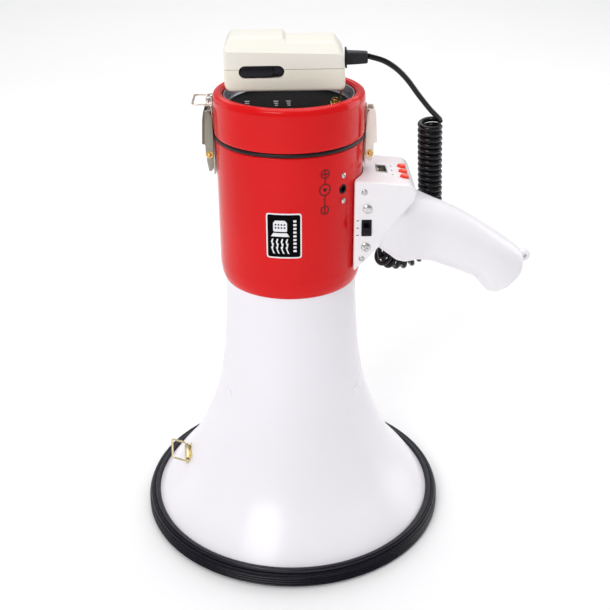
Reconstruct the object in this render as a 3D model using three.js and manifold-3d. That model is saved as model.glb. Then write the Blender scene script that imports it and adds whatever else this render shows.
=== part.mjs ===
// A handheld megaphone standing on its bell: horn, red body, rear cap with a fist microphone,
// pistol handle with its controls, and the coiled lead between them.
// Millimetres, +Z up, the bell's rim on z = 0, the handle pointing along +X.
import * as THREE from 'three';
import { mergeVertices } from 'three/addons/utils/BufferGeometryUtils.js';
import { ConvexGeometry } from 'three/addons/geometries/ConvexGeometry.js';
import Module from 'manifold-3d';

const wasm = await Module();
wasm.setup();

// ---- driving dimensions ----
const GAP = 0.3; // between parts that touch on the real object
const RIM_RADIUS = 115; // outer radius of the rubber guard round the bell
const HANDLE_TIP_X = 174.2; // end of the lanyard eye, from the bell's axis
const CENTRE_X = (HANDLE_TIP_X - RIM_RADIUS) / 2; // middle of the object along X
const ROUND = 48; // sides of the large round parts
const FINE = 12; // sides of the small round parts
const WALL = 2;

const NECK_Z = 196; // where the white horn meets the red body
const NECK_RADIUS = 47.1;
const SPIGOT_RADIUS = 44.7;
const BODY_RADIUS = 50.8;
const BODY_TOP = 299.5;
const LID_RADIUS = 52;
const LID_BOTTOM = 302.8;
const LID_TOP = 332;
const PANEL_Z = 322; // face of the rear panel, sunk inside the cap's lip

const CELL_RADIUS = 13;
const CELL_LENGTH = 50;
const CELL_COUNT = 6;
const CELL_RING = 29.5;
const CELL_Z = 249;

const LATCH_PIVOT = { u: 4.2, z: 288 }; // u is measured outwards from the body's surface
const CLAW_PIVOT = { u: 5.9, z: 292 };
const LUG = { y: 4.4, half: 0.8 }; // the base's two lugs, inside the lever's cheeks
const CHEEK = { y: 6.4, half: 0.75 };

const BLOCK_HALF = 30.5; // half width of the handle's base
const SHELL_WALL = 2.5;
const TOP_TILT = 0.1; // slope of the base's upper face, radians
const TOP_POINT = { x: 81, z: 272.3 }; // a point on that face

const MIC_HALF = { x: 39.5, y: 19 };
const MIC_BASE = { x: -2.5, y: -3, z: 335.8 };
const MIC_TILT = 0.0175; // the microphone leans a degree on its hook
const MIC_PARTING = 14.8;
const TALK_SLOT = { x: -15.2, z: 13.2, length: 29.8, height: 8.2 };

const JACK_ANGLE = 0.77; // round the body from -Y towards +X, radians
const JACK_Z = 272.9;
const JACK_RADIUS = 3;
const JACK_SCREWS = { dc_jack_screw_upper: 282.6, dc_jack_screw_lower: 264.6 };
const CORD_RADIUS = 1.9;
const COIL_RADIUS = 9;

// ---- colours ----
const RED = { color: 0xd8262a, roughness: 0.3, metalness: 0 };
const WHITE = { color: 0xeeeaf0, roughness: 0.3, metalness: 0 };
const RUBBER = { color: 0x17171c, roughness: 0.7, metalness: 0 };
const BLACK = { color: 0x121214, roughness: 0.45, metalness: 0 };
const IVORY = { color: 0xe2e0d4, roughness: 0.4, metalness: 0 };
const GREY = { color: 0xa9adb2, roughness: 0.5, metalness: 0 };
const ZINC = { color: 0x8f8a7d, roughness: 0.4, metalness: 1 };
const CHROME = { color: 0xcfd0d2, roughness: 0.2, metalness: 1 };
const BRASS = { color: 0xc9a44a, roughness: 0.3, metalness: 1 };
const BOARD = { color: 0x2f6b3c, roughness: 0.6, metalness: 0 };
const ORANGE = { color: 0xf0492c, roughness: 0.4, metalness: 0 };
const CELL = { color: 0x3b4a63, roughness: 0.4, metalness: 0.3 };

const megaphone = new THREE.Group();
megaphone.position.x = -CENTRE_X;

// ---- shape helpers ----
function toSolid(geometry) {
  const bare = geometry.index ? geometry.toNonIndexed() : geometry.clone();
  bare.deleteAttribute('normal');
  bare.deleteAttribute('uv');
  const merged = mergeVertices(bare, 1e-4);
  const triVerts = new Uint32Array(merged.index.array);
  const vertProperties = new Float32Array(merged.attributes.position.array);
  const solid = new wasm.Manifold(new wasm.Mesh({ numProp: 3, vertProperties, triVerts }));
  if (solid.volume() > 0) return solid;
  for (let i = 0; i < triVerts.length; i += 3) {
    [triVerts[i + 1], triVerts[i + 2]] = [triVerts[i + 2], triVerts[i + 1]];
  }
  return new wasm.Manifold(new wasm.Mesh({ numProp: 3, vertProperties, triVerts }));
}

function toGeometry(solid) {
  const mesh = solid.getMesh();
  const geometry = new THREE.BufferGeometry();
  geometry.setAttribute('position', new THREE.BufferAttribute(new Float32Array(mesh.vertProperties), 3));
  geometry.setIndex(new THREE.BufferAttribute(new Uint32Array(mesh.triVerts), 1));
  return geometry;
}

function join(...parts) {
  return parts.reduce((all, part) => all.add(part));
}

function cut(part, ...tools) {
  return tools.reduce((left, tool) => left.subtract(tool), part);
}

// A solid of revolution about Z from [radius, z] points. An outline that leaves the axis closes on itself.
function lathe(outline, sides = ROUND) {
  const points = outline.map(([r, z]) => new THREE.Vector2(r, z));
  if (outline[0][0] > 0) points.push(points[0].clone());
  return toSolid(new THREE.LatheGeometry(points, sides).rotateX(Math.PI / 2));
}

function box(x, y, z, at = [0, 0, 0]) {
  return toSolid(new THREE.BoxGeometry(x, y, z).translate(...at));
}

// A cylinder standing on z = 0.
function post(radius, height, sides = FINE, topRadius = radius) {
  const geometry = new THREE.CylinderGeometry(topRadius, radius, height, sides);
  return toSolid(geometry.rotateX(Math.PI / 2).translate(0, 0, height / 2));
}

// A cylinder centred on a point with its axis along Y.
function pinAlongY(radius, length, [x, y, z], sides = FINE) {
  return toSolid(new THREE.CylinderGeometry(radius, radius, length, sides).translate(x, y, z));
}

// An outline in X and Z, given a width along Y, with its edges bevelled and its walls drawn in by inset.
function prism(shape, halfWidth, bevel = 0, inset = 0, bevelSegments = 3) {
  const geometry = new THREE.ExtrudeGeometry(shape, {
    depth: 2 * (halfWidth - bevel - inset),
    steps: 1,
    curveSegments: 4,
    bevelEnabled: bevel > 0 || inset > 0,
    bevelThickness: bevel,
    bevelSize: bevel,
    bevelOffset: -bevel - inset,
    bevelSegments: bevel > 0 ? bevelSegments : 1,
  });
  return toSolid(geometry.rotateX(Math.PI / 2).translate(0, halfWidth - bevel - inset, 0));
}

function outline(points) {
  return new THREE.Shape(points.map(([x, y]) => new THREE.Vector2(x, y)));
}

function stadium(length, height) {
  const radius = height / 2;
  const shape = new THREE.Shape();
  shape.absarc(length / 2 - radius, 0, radius, -Math.PI / 2, Math.PI / 2);
  shape.absarc(radius - length / 2, 0, radius, Math.PI / 2, 1.5 * Math.PI);
  return shape;
}

// A rectangle with rounded corners, centred on the origin.
function roundedRectangle(width, height, radius) {
  const x = width / 2 - radius;
  const y = height / 2 - radius;
  const shape = new THREE.Shape();
  shape.absarc(x, y, radius, 0, Math.PI / 2);
  shape.absarc(-x, y, radius, Math.PI / 2, Math.PI);
  shape.absarc(-x, -y, radius, Math.PI, 1.5 * Math.PI);
  shape.absarc(x, -y, radius, 1.5 * Math.PI, 2 * Math.PI);
  return shape;
}

// A bar of square section bent round a rectangle with rounded corners, lying in XY.
function wireLoop(width, height, radius, section) {
  const outer = roundedRectangle(width, height, radius);
  const inner = roundedRectangle(width - 2 * section, height - 2 * section, Math.max(radius - section, 0.4));
  outer.holes.push(inner);
  const options = { depth: section, curveSegments: 3, bevelEnabled: false };
  const geometry = new THREE.ExtrudeGeometry(outer, options);
  return toSolid(geometry.translate(0, 0, -section / 2));
}

function tube(points, radius, sides, steps) {
  const curve = new THREE.CatmullRomCurve3(points.map((p) => new THREE.Vector3(...p)), false, 'centripetal');
  const section = new THREE.Shape();
  for (let i = 0; i < sides; i += 1) {
    const angle = (2 * Math.PI * i) / sides;
    const [x, y] = [radius * Math.cos(angle), radius * Math.sin(angle)];
    if (i === 0) section.moveTo(x, y);
    else section.lineTo(x, y);
  }
  return toSolid(new THREE.ExtrudeGeometry(section, { steps, extrudePath: curve, bevelEnabled: false }));
}

function add(name, solid, look, parent = megaphone) {
  const mesh = new THREE.Mesh(toGeometry(solid), new THREE.MeshStandardMaterial(look));
  mesh.name = name;
  parent.add(mesh);
  return mesh;
}

function turnedGroup(angle, parent = megaphone) {
  const group = new THREE.Group();
  group.rotation.z = angle;
  parent.add(group);
  return group;
}

// A pan-head screw with a cross recess, its head's underside on z = 0 and its shank below.
function screw(headRadius, headHeight, shankLength) {
  const head = lathe([
    [0, headHeight],
    [headRadius * 0.6, headHeight],
    [headRadius, headHeight * 0.45],
    [headRadius, 0],
    [headRadius * 0.5, 0],
    [headRadius * 0.5, -shankLength],
    [0, -shankLength],
  ], FINE);
  const slot = headRadius * 0.28;
  const reach = headRadius * 1.3;
  const depth = headHeight;
  const recess = join(box(reach, slot, depth), box(slot, reach, depth)).translate([0, 0, headHeight]);
  return head.subtract(recess);
}

// ---- horn ----
const HORN_OUTLINE = [
  [109, 7], [95.2, 25], [79.1, 45], [67.3, 70], [56.9, 100], [50.5, 135], [47.9, 170], [NECK_RADIUS, NECK_Z],
];
const hornCurve = new THREE.SplineCurve(HORN_OUTLINE.map(([r, z]) => new THREE.Vector2(r, z)));
const HORN_STEPS = 11;

// The horn's wall, drawn outwards by offset along its own normal.
function hornWall(offset) {
  const points = [];
  for (let i = 0; i <= HORN_STEPS; i += 1) {
    const point = hornCurve.getPoint(i / HORN_STEPS);
    const along = hornCurve.getTangent(i / HORN_STEPS);
    points.push([point.x + along.y * offset, point.y - along.x * offset]);
  }
  return points;
}

function makeHorn() {
  const spigot = [[SPIGOT_RADIUS, NECK_Z], [SPIGOT_RADIUS, 204], [SPIGOT_RADIUS - WALL, 204]];
  const profile = [...hornWall(0), ...spigot, ...hornWall(-WALL).reverse()];
  add('horn_bell', lathe(profile), WHITE);
}

// The guard grips the horn's edge in a groove and carries four rounded ribs round its outside.
function makeRimGuard() {
  const grip = 0.4; // how far up the horn's first facet the groove reaches
  const facet = (offset) => {
    const [end, next] = hornWall(offset);
    return [end, [end[0] + grip * (next[0] - end[0]), end[1] + grip * (next[1] - end[1])]];
  };
  const [outerEnd, outerLip] = facet(GAP);
  const [innerEnd, innerLip] = facet(-WALL - GAP);
  const deeper = ([r, z]) => [r + GAP * 0.7, z - GAP * 0.9];
  const ribs = [];
  const ribPitch = 1.9;
  for (let z = 1; z < 4 * ribPitch; z += ribPitch) {
    const crest = RIM_RADIUS - 0.08 * Math.abs(z - 5);
    ribs.push([crest - 1, z], [crest, z + ribPitch / 2]);
  }
  add('rim_guard', lathe([
    [104.2, 0], [RIM_RADIUS - 2.5, 0], ...ribs, [RIM_RADIUS - 1, 9], [113, 10.8], [108.5, 12.6],
    outerLip, deeper(outerEnd), deeper(innerEnd), innerLip, [102.9, 9.3], [102.6, 1],
  ]), RUBBER);
}

// The sound comes down the throat, turns back in the reflector and turns again into the bell.
function makeThroat() {
  add('throat_tube', lathe([
    [10, 210.5], [20, 210.5], [20, 208.5], [12, 208.5], [14, 130], [17, 95], [15.2, 95], [12.2, 130],
  ], 24), WHITE);
}

function makeReflector() {
  const rim = 36;
  const cup = lathe([
    [0, 58], [12, 60], [23, 67], [31, 80], [35, 100], [rim, 142], [rim - WALL, 142], [rim - 3, 100],
    [29, 82], [21.5, 69.5], [11, 62.2], [0, 60],
  ], 32);
  const finShape = outline([[rim - 1.6, 99], [54.2, 99], [51.2, 113], [rim - 1.6, 113]]);
  const fins = [0, 1, 2].map((i) => prism(finShape, 1.2).rotate([0, 0, 90 + i * 120]));
  add('reflector_cup', join(cup, ...fins), WHITE);
}

// ---- driver and electronics inside the body ----
function makeDriver() {
  add('driver_plate', lathe([[12.5, 205], [47.5, 205], [47.5, 208], [12.5, 208]]), ZINC);
  add('driver_diaphragm', lathe([
    [0, 216], [10, 215], [18, 211.8], [22, 211.8], [22, 211], [17.6, 211], [10, 213.8], [0, 214.8],
  ], 24), GREY);
  add('driver_magnet', lathe([[0, 217], [31, 217], [31, 234], [29, 236], [0, 236]], 32), BLACK);
}

function makeAmplifier() {
  const board = lathe([[0, 238.5], [45, 238.5], [45, 240.1], [0, 240.1]], 40);
  const transformer = box(18, 15, 5, [-18, 10, 242.2]);
  const heatSink = box(26, 8, 5, [12, -20, 242.2]);
  const capacitors = [-10, 2, 14].map((x) => post(4, 5.2, 12).translate([x, 25, 239.9]));
  add('amplifier_board', join(board, transformer, heatSink, ...capacitors), BOARD);
}

function makeBatteries() {
  const column = lathe([
    [0, 246.5], [46, 246.5], [46, 248.5], [14, 248.5], [14, CELL_Z + CELL_LENGTH + 0.8],
    [44, CELL_Z + CELL_LENGTH + 0.8], [44, CELL_Z + CELL_LENGTH + 2.6], [0, CELL_Z + CELL_LENGTH + 2.6],
  ], 32);
  add('battery_holder', column, BLACK);
  for (let i = 0; i < CELL_COUNT; i += 1) {
    const angle = (i * 2 * Math.PI) / CELL_COUNT;
    const cell = lathe([
      [0, 0], [CELL_RADIUS, 0], [CELL_RADIUS, CELL_LENGTH - 2], [3.5, CELL_LENGTH - 1.6],
      [3.5, CELL_LENGTH], [0, CELL_LENGTH],
    ], 16);
    const mesh = add(`battery_cell_${i + 1}`, cell, CELL);
    mesh.position.set(CELL_RING * Math.cos(angle), CELL_RING * Math.sin(angle), CELL_Z);
  }
}

// ---- red body ----
function makeBody() {
  const inner = BODY_RADIUS - 2.4;
  const shell = lathe([
    [47.3, NECK_Z + GAP], [48.6, 198.4], [49.8, 202.2], [50.5, 208], [BODY_RADIUS, 272], [51.2, BODY_TOP],
    [inner, BODY_TOP], [inner, 204.6], [SPIGOT_RADIUS + 0.5, 204.6], [SPIGOT_RADIUS + 0.5, NECK_Z + GAP],
  ]);
  const jackHole = pinAlongY(JACK_RADIUS + 0.4, 12, [0, -BODY_RADIUS, JACK_Z]);
  const screwHoles = Object.values(JACK_SCREWS).map((z) => pinAlongY(1.3, 12, [0, -BODY_RADIUS, z]));
  const holes = join(jackHole, ...screwHoles).rotate([0, 0, THREE.MathUtils.radToDeg(JACK_ANGLE)]);
  add('body_shell', cut(shell, holes), RED);
  add('body_gasket', lathe([[46, 299.8], [51.7, 299.8], [51.9, 301.1], [51.7, 302.4], [46, 302.4]]), RUBBER);
}

function makeSocket() {
  const side = turnedGroup(JACK_ANGLE);
  const jack = add('dc_jack', lathe([
    [0, -9], [JACK_RADIUS, -9], [JACK_RADIUS, 0.5], [2.1, 0.5],
    [2.1, -7.5], [0.8, -7.5], [0.8, -1.5], [0, -1.5],
  ], FINE), BLACK, side);
  jack.position.set(0, -BODY_RADIUS, JACK_Z);
  jack.rotation.x = Math.PI / 2;
  for (const [name, z] of Object.entries(JACK_SCREWS)) {
    const head = add(name, screw(1.9, 0.9, 4), CHROME, side);
    head.position.set(0, -BODY_RADIUS - 0.5, z);
    head.rotation.x = Math.PI / 2;
  }
}

// ---- rear cap ----
function makeLid() {
  add('lid_cap', lathe([
    [51.6, LID_BOTTOM], [LID_RADIUS, LID_BOTTOM + 1.5], [LID_RADIUS, 327.5], [51.2, 330.4], [49.2, LID_TOP],
    [47, 331.8], [45.5, 330.3], [45, 328.5], [45, LID_BOTTOM],
  ]), RED);
  add('lid_panel', lathe([
    [0, 318], [44.6, 318], [44.6, 329.6], [43.8, 329.6], [42.4, PANEL_Z + 1.4], [41.8, PANEL_Z], [0, PANEL_Z],
  ]), GREY);
  const strip = outline([
    [23, 322.3], [30.6, 322.3], [30.6, 335.2], [22, 335.2],
    [22, 334], [29.2, 334], [29.2, 323.5], [23, 323.5],
  ]);
  const hook = cut(prism(strip, 4.5), box(4, 3, 4, [24, 0, 334.6]));
  add('mic_hook', hook.translate([0, -4, 0]), CHROME);
}

// ---- toggle latches, built on the -X side; the +X one is turned half a turn ----
function latchPoint(u, z) {
  return [-(BODY_RADIUS + 0.2 + u), z];
}

function latchPrism(points, halfWidth, y = 0) {
  return prism(outline(points.map(([u, z]) => latchPoint(u, z))), halfWidth).translate([0, y, 0]);
}

function latchPin(point, radius, length, y = 0) {
  const [x, z] = latchPoint(point.u, point.z);
  return pinAlongY(radius, length, [x, y, z]);
}

function makeLatch(side, angle, baseFoot) {
  const group = turnedGroup(angle);
  const eyeRadius = 2.7;
  const bothSides = (make) => join(make(-1), make(1));

  const plate = latchPrism([[0.4, baseFoot], [1.6, baseFoot], [1.6, 298], [0.4, 298]], 5.2);
  const lugShape = [[1.5, baseFoot], [2.6, baseFoot], [6.6, 286.6], [4.6, 290.2], [1.5, 290.2]];
  const lugs = bothSides((s) => join(
    latchPrism(lugShape, LUG.half, s * LUG.y),
    latchPin(LATCH_PIVOT, eyeRadius, 2 * LUG.half, s * LUG.y),
  ));
  const pinHole = latchPin(LATCH_PIVOT, 1.5, 30);
  add(`latch_base_${side}`, cut(join(plate, lugs), pinHole), ZINC, group);

  const rivet = join(
    latchPin(LATCH_PIVOT, 1.2, 15.4),
    bothSides((s) => latchPin(LATCH_PIVOT, 2.1, 1, s * 8)),
  );
  add(`latch_pin_${side}`, rivet, BRASS, group);

  const cheekShape = [[2.8, 290], [2.6, 303], [3.6, 315], [5.4, 317], [7.6, 316], [8.6, 293], [6.9, 288]];
  const cheeks = bothSides((s) => join(
    latchPrism(cheekShape, CHEEK.half, s * CHEEK.y),
    latchPin(LATCH_PIVOT, eyeRadius, 2 * CHEEK.half, s * CHEEK.y),
  ));
  const cover = latchPrism([[7.4, 294], [8.8, 293], [8.3, 315], [7.2, 316]], CHEEK.y + CHEEK.half);
  add(`latch_lever_${side}`, cut(join(cheeks, cover), pinHole), ZINC, group);

  const strapHalf = 4;
  const strapShape = [[5.3, 292], [6.5, 292], [6.5, 317.4], [3.2, 317.4], [3.2, 316.2], [5.3, 316.2]];
  const strap = join(latchPrism(strapShape, strapHalf), latchPin(CLAW_PIVOT, 1.2, 2 * strapHalf));
  add(`latch_claw_${side}`, strap, CHROME, group);

  const keeper = latchPrism([
    [1.4, 306], [2.4, 306], [2.4, 312.6], [4.6, 312.6], [4.6, 315], [2.4, 315], [2.4, 319.5], [1.4, 319.5],
  ], 5);
  add(`keeper_${side}`, keeper, CHROME, group);
}

// ---- carrying-strap rings ----
const RING_SECTION = 1.5;

function ringHolder(width) {
  const barrel = pinAlongY(RING_SECTION + 0.6, width, [0, 0, 0]);
  const bore = pinAlongY(RING_SECTION * 0.5 + 0.55, width + 2, [0, 0, 0]);
  return { barrel, bore };
}

function makeRing(group, name, [out, z], tilt, reach, width) {
  const ring = add(name, wireLoop(reach, width, 2.5, RING_SECTION), CHROME, group);
  const halfReach = (reach - RING_SECTION) / 2;
  ring.position.set(-out - halfReach * Math.cos(tilt), 0, z + halfReach * Math.sin(tilt));
  ring.rotation.y = tilt;
}

function makeUpperRing() {
  const group = turnedGroup(0);
  const [out, z] = [54.6, 325.2];
  const width = 10;
  const { barrel, bore } = ringHolder(width);
  const plate = box(1.3, width, 7, [out - 53.25, 0, 0]);
  const holder = cut(join(barrel, plate), bore).translate([-out, 0, z]);
  add('strap_bracket_upper', holder, CHROME, group);
  makeRing(group, 'strap_ring_upper', [out, z], 0, 11.6, 26);
}

function makeLowerRing() {
  const group = turnedGroup(0.12);
  const [out, z] = [83.4, 43.6];
  const { barrel, bore } = ringHolder(19);
  const foot = box(8, 19, 1.4, [0, 0, -1.9]).rotate([0, 50, 0]);
  const horn = lathe([...hornWall(0.4), [0, NECK_Z], [0, 7]]);
  const holder = cut(join(barrel, foot).subtract(bore).translate([-out, 0, z]), horn);
  add('strap_bracket_lower', holder, BRASS, group);
  makeRing(group, 'strap_ring_lower', [out, z], 0.42, 14, 26);
}

// ---- handle: a wide base on the body, a flare and a rounded grip, in two half shells ----
const GRIP_SLOPE = 0.422; // the grip falls away from the body, radians
const GRIP_CENTRE = { x: 107.5, z: 226.5 };
const GRIP_SIDES = 16;
const GRIP_SQUARENESS = 0.9; // of its cross-sections: 1 gives an ellipse and 0 a rectangle
const GRIP_SECTIONS = [
  { along: -38, top: 19, bottom: -22, half: 28 },
  { along: -24, top: 20, bottom: -31, half: 23.5 },
  { along: -17, top: 20, bottom: -33, half: 21 },
  { along: -6, top: 20.6, bottom: -25, half: 18.2 },
  { along: 5, top: 20.5, bottom: -22.2, half: 17.5 },
  { along: 20, top: 19, bottom: -21.3, half: 17.5 },
  { along: 38, top: 15.8, bottom: -20.5, half: 17.5 },
  { along: 46, top: 14.2, bottom: -24.5, half: 17.5 },
  { along: 52, top: 13, bottom: -27.5, half: 16.8 },
  { along: 68, top: 8.6, bottom: -27.5, half: 13.5 },
];
const CONTROL_PLACES = { usb: [64, 0.5], buttons: [[78.7, 8], [78.7, -2.7], [78.7, -13.4]] };
const SWITCH_PLACE = [52.3, 241.9];
const SWITCH_SIZE = [6.6, 11.8];
const GLAND = { x: 53, y: 20, z: 218.3, angle: 2.32 };
const EYE = { x: 169.6, z: 207, radius: 4.6, hole: 1.7 };

function baseSolid(inset) {
  const side = outline([
    [43.6, 276], [82, 272.2], [86, 268.5], [85.5, 262], [64, 236], [62, 228], [43.6, 208.2],
  ]);
  return prism(side, BLOCK_HALF, inset > 0 ? 0 : 1.6, inset, 2);
}

// The points of one rounded cross-section of the grip, square to its own line.
function gripSection({ along, top, bottom, half }, inset) {
  const stretch = (value) => Math.sign(value) * Math.abs(value) ** GRIP_SQUARENESS;
  const points = [];
  for (let i = 0; i < GRIP_SIDES; i += 1) {
    const angle = (2 * Math.PI * (i + 0.5)) / GRIP_SIDES;
    const up = (top + bottom) / 2 + ((top - bottom) / 2 - inset) * stretch(Math.sin(angle));
    const x = GRIP_CENTRE.x + along * Math.cos(GRIP_SLOPE) + up * Math.sin(GRIP_SLOPE);
    const z = GRIP_CENTRE.z - along * Math.sin(GRIP_SLOPE) + up * Math.cos(GRIP_SLOPE);
    points.push(new THREE.Vector3(x, (half - inset) * stretch(Math.cos(angle)), z));
  }
  return points;
}

// The side view that ends the grip: it runs past the sections everywhere but at the grip's far end.
function gripEnd() {
  return outline([
    [50, 280], [150, 280], [163, 215.5], [168, 209], [167.5, 203], [164.7, 196], [157, 187.5], [150, 182],
    [144.5, 181.5], [130, 170], [50, 170],
  ]);
}

// The flare and the grip: each pair of neighbouring sections spans one convex length.
function gripSolid(inset) {
  const overlap = 0.4; // each length starts inside the one before it
  const lengths = [];
  for (let i = 1; i < GRIP_SECTIONS.length; i += 1) {
    const near = { ...GRIP_SECTIONS[i - 1], along: GRIP_SECTIONS[i - 1].along - overlap };
    const points = [...gripSection(near, inset), ...gripSection(GRIP_SECTIONS[i], inset)];
    lengths.push(toSolid(new ConvexGeometry(points)));
  }
  return join(...lengths).intersect(prism(gripEnd(), BLOCK_HALF, 0, inset));
}

function bodyClearance(radius) {
  return lathe([[0, 190], [radius, 190], [radius, 290], [0, 290]]);
}

function onTop(solid, [x, y], lift = 0) {
  const surface = TOP_POINT.z + (TOP_POINT.x - x) * Math.tan(TOP_TILT);
  return solid.rotate([0, THREE.MathUtils.radToDeg(TOP_TILT), 0]).translate([x, y, surface + lift]);
}

// Turns a piece built along +Z to the way the lead leaves the handle.
function inGland(solid) {
  const { x, y, z, angle } = GLAND;
  return solid.rotate([0, THREE.MathUtils.radToDeg(angle), 0]).translate([x, y, z]);
}

function buttonBody(grow) {
  const half = 2.5 + grow;
  const shape = outline([[3 + grow, -half], [3 + grow, half], [-0.8, half], [-3 - grow, 0], [-0.8, -half]]);
  return toSolid(new THREE.ExtrudeGeometry(shape, { depth: 4.6, bevelEnabled: false }));
}

const FRONT_SCREWS = {
  switch_screw_upper: { x: 52.8, z: 255.9, radius: 3.2, sunk: 0 },
  switch_screw_lower: { x: 52.1, z: 227.6, radius: 3.2, sunk: 0 },
  shell_screw_upper: { x: 50.6, z: 268, radius: 1.7, sunk: 1.5 },
  shell_screw_lower: { x: 49.6, z: 218.6, radius: 1.7, sunk: 1.5 },
};

// Everything that is cut through the shells for the controls, screws and lead.
function handleOpenings() {
  const screwHoles = Object.values(FRONT_SCREWS).flatMap(({ x, z, radius, sunk }) => [
    pinAlongY(radius * 0.5 + GAP, 12, [x, -BLOCK_HALF, z], 12),
    ...(sunk > 0 ? [pinAlongY(radius + 0.6, 2 * sunk + GAP, [x, -BLOCK_HALF, z], 20)] : []),
  ]);
  const [sx, sz] = SWITCH_PLACE;
  const switchHole = box(SWITCH_SIZE[0] + 2 * GAP, 12, SWITCH_SIZE[1] + 2 * GAP, [sx, -BLOCK_HALF, sz]);
  const usbHole = onTop(box(8, 16, 12), CONTROL_PLACES.usb);
  const buttonHole = buttonBody(0.4).translate([0, 0, -3.5]);
  const buttonHoles = CONTROL_PLACES.buttons.map((place) => onTop(buttonHole, place));
  const glandHole = inGland(post(3.5 + GAP, 20).translate([0, 0, -10]));
  return join(switchHole, usbHole, ...screwHoles, ...buttonHoles, glandHole);
}

function makeHandleShells() {
  const eye = pinAlongY(EYE.radius, 6, [EYE.x, 0, EYE.z], 20);
  const outer = join(baseSolid(0), gripSolid(0), eye);
  const cavity = join(baseSolid(SHELL_WALL), gripSolid(SHELL_WALL));
  const hollow = cavity.subtract(bodyClearance(BODY_RADIUS + 0.6 + SHELL_WALL));
  const eyeHole = pinAlongY(EYE.hole, 20, [EYE.x, 0, EYE.z], 12);
  const shell = cut(outer, bodyClearance(BODY_RADIUS + 0.6), hollow, eyeHole, handleOpenings());
  const reach = 200;
  const half = (side) => shell.intersect(box(reach, reach, reach, [120, side * (reach / 2 + GAP / 2), 240]));
  add('handle_front_shell', half(-1), WHITE);
  add('handle_rear_shell', half(1), WHITE);
}

function makeFrontScrews() {
  for (const [name, { x, z, radius, sunk }] of Object.entries(FRONT_SCREWS)) {
    const head = add(name, screw(radius, radius * 0.45, 4), CHROME);
    head.position.set(x, -BLOCK_HALF + (sunk > 0 ? sunk - 0.1 : -GAP), z);
    head.rotation.x = Math.PI / 2;
  }
}

function makeModeSwitch() {
  const [x, z] = SWITCH_PLACE;
  const front = -BLOCK_HALF - 0.4;
  const frame = cut(
    box(SWITCH_SIZE[0], 5.4, SWITCH_SIZE[1], [x, front + 2.7, z]),
    box(3.4, 6, 8.8, [x, front, z]),
  );
  add('switch_frame', frame, BLACK);
  const cap = box(4.8, 2.2, 4.6, [x, front - 1.5, z]);
  const stem = box(2.6, 3, 2.8, [x, front + 1, z]);
  add('mode_switch_knob', join(cap, stem), BLACK);
}

function makeTopControls() {
  const socket = join(
    cut(box(7.4, 15.4, 7, [0, 0, -3.1]), box(5.8, 13.8, 7, [0, 0, -1.1])),
    box(2, 11, 5.4, [0, 0, -3.4]),
  );
  add('usb_socket', onTop(socket, CONTROL_PLACES.usb), CHROME);
  CONTROL_PLACES.buttons.forEach((place, i) => {
    add(`button_${i + 1}`, onTop(buttonBody(0).translate([0, 0, -2.9]), place), ORANGE);
  });
  const switches = CONTROL_PLACES.buttons.map(([x, y]) => box(5, 5, 2, [x - 1, y, 266.6]));
  add('control_board', join(box(22, 40, 1.6, [70, 0, 265]), ...switches), BOARD);
}

function makeGland() {
  const gland = join(post(3.5, 4).translate([0, 0, -3.6]), lathe([
    [0, GAP], [6, GAP], [6, 1.6], [4.6, 2], [3, 13.8], [0, 13.8],
  ], FINE));
  add('cord_gland', inGland(gland), RUBBER);
}

// ---- fist microphone lying on the rear cap ----
function micOutline() {
  const shape = new THREE.Shape();
  shape.absarc(33.5, 6, 6, -Math.PI / 2, 0);
  const top = [[38.6, 23], [33.5, 30.8], [0.5, 30.8], [-1.5, 33.8], [-36.4, 33.8], [-39.2, 28]];
  top.forEach(([x, z]) => shape.lineTo(x, z));
  shape.absarc(-33.5, 6, 6, Math.PI, 1.5 * Math.PI);
  return shape;
}

function makeMicrophone() {
  const group = new THREE.Group();
  group.position.set(MIC_BASE.x, MIC_BASE.y, MIC_BASE.z);
  group.rotation.y = -MIC_TILT;
  megaphone.add(group);

  const slotShape = stadium(TALK_SLOT.length, TALK_SLOT.height);
  const slot = prism(slotShape, 4).translate([TALK_SLOT.x, -MIC_HALF.y, TALK_SLOT.z]);
  const leadZ = 17.6;
  const alongX = (solid) => solid.rotate([0, 90, 0]);
  const leadHole = alongX(post(2.6, 8)).translate([34, 0, leadZ]);
  const outer = prism(micOutline(), MIC_HALF.y, 3.2, 0, 2);
  const shell = cut(outer, prism(micOutline(), MIC_HALF.y, 2, WALL, 1), slot, leadHole);
  const tall = 60;
  const lowerSide = box(100, 60, tall, [0, 0, MIC_PARTING - GAP / 2 - tall / 2]);
  const upperSide = box(100, 60, tall, [0, 0, MIC_PARTING + GAP / 2 + tall / 2]);
  add('mic_lower_case', shell.intersect(lowerSide), IVORY, group);
  add('mic_upper_case', shell.intersect(upperSide), IVORY, group);

  add('mic_capsule', post(7, 5, 20).translate([-22, 0, 25]), BLACK, group);
  const sliderSize = [TALK_SLOT.length + 6, 1.4, 11];
  add('talk_slider', box(...sliderSize, [TALK_SLOT.x - 1.4, -15.2, TALK_SLOT.z]), BLACK, group);
  const barLength = 22.6;
  const barX = TALK_SLOT.x + (barLength - TALK_SLOT.length) / 2 + 0.6;
  const bar = prism(stadium(barLength, 7.2), 1.35, 0.5, 0, 1).translate([barX, -18.65, TALK_SLOT.z]);
  add('talk_bar', bar, BLACK, group);

  const boot = join(
    box(1.5, 10.4, 12.2, [40.7, 0, leadZ]),
    alongX(post(4.2, 14, FINE, 3.8)).translate([41, 0, leadZ]),
    alongX(post(2.2, 5)).translate([36, 0, leadZ]),
  );
  add('mic_boot', boot, RUBBER, group);
}

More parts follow.
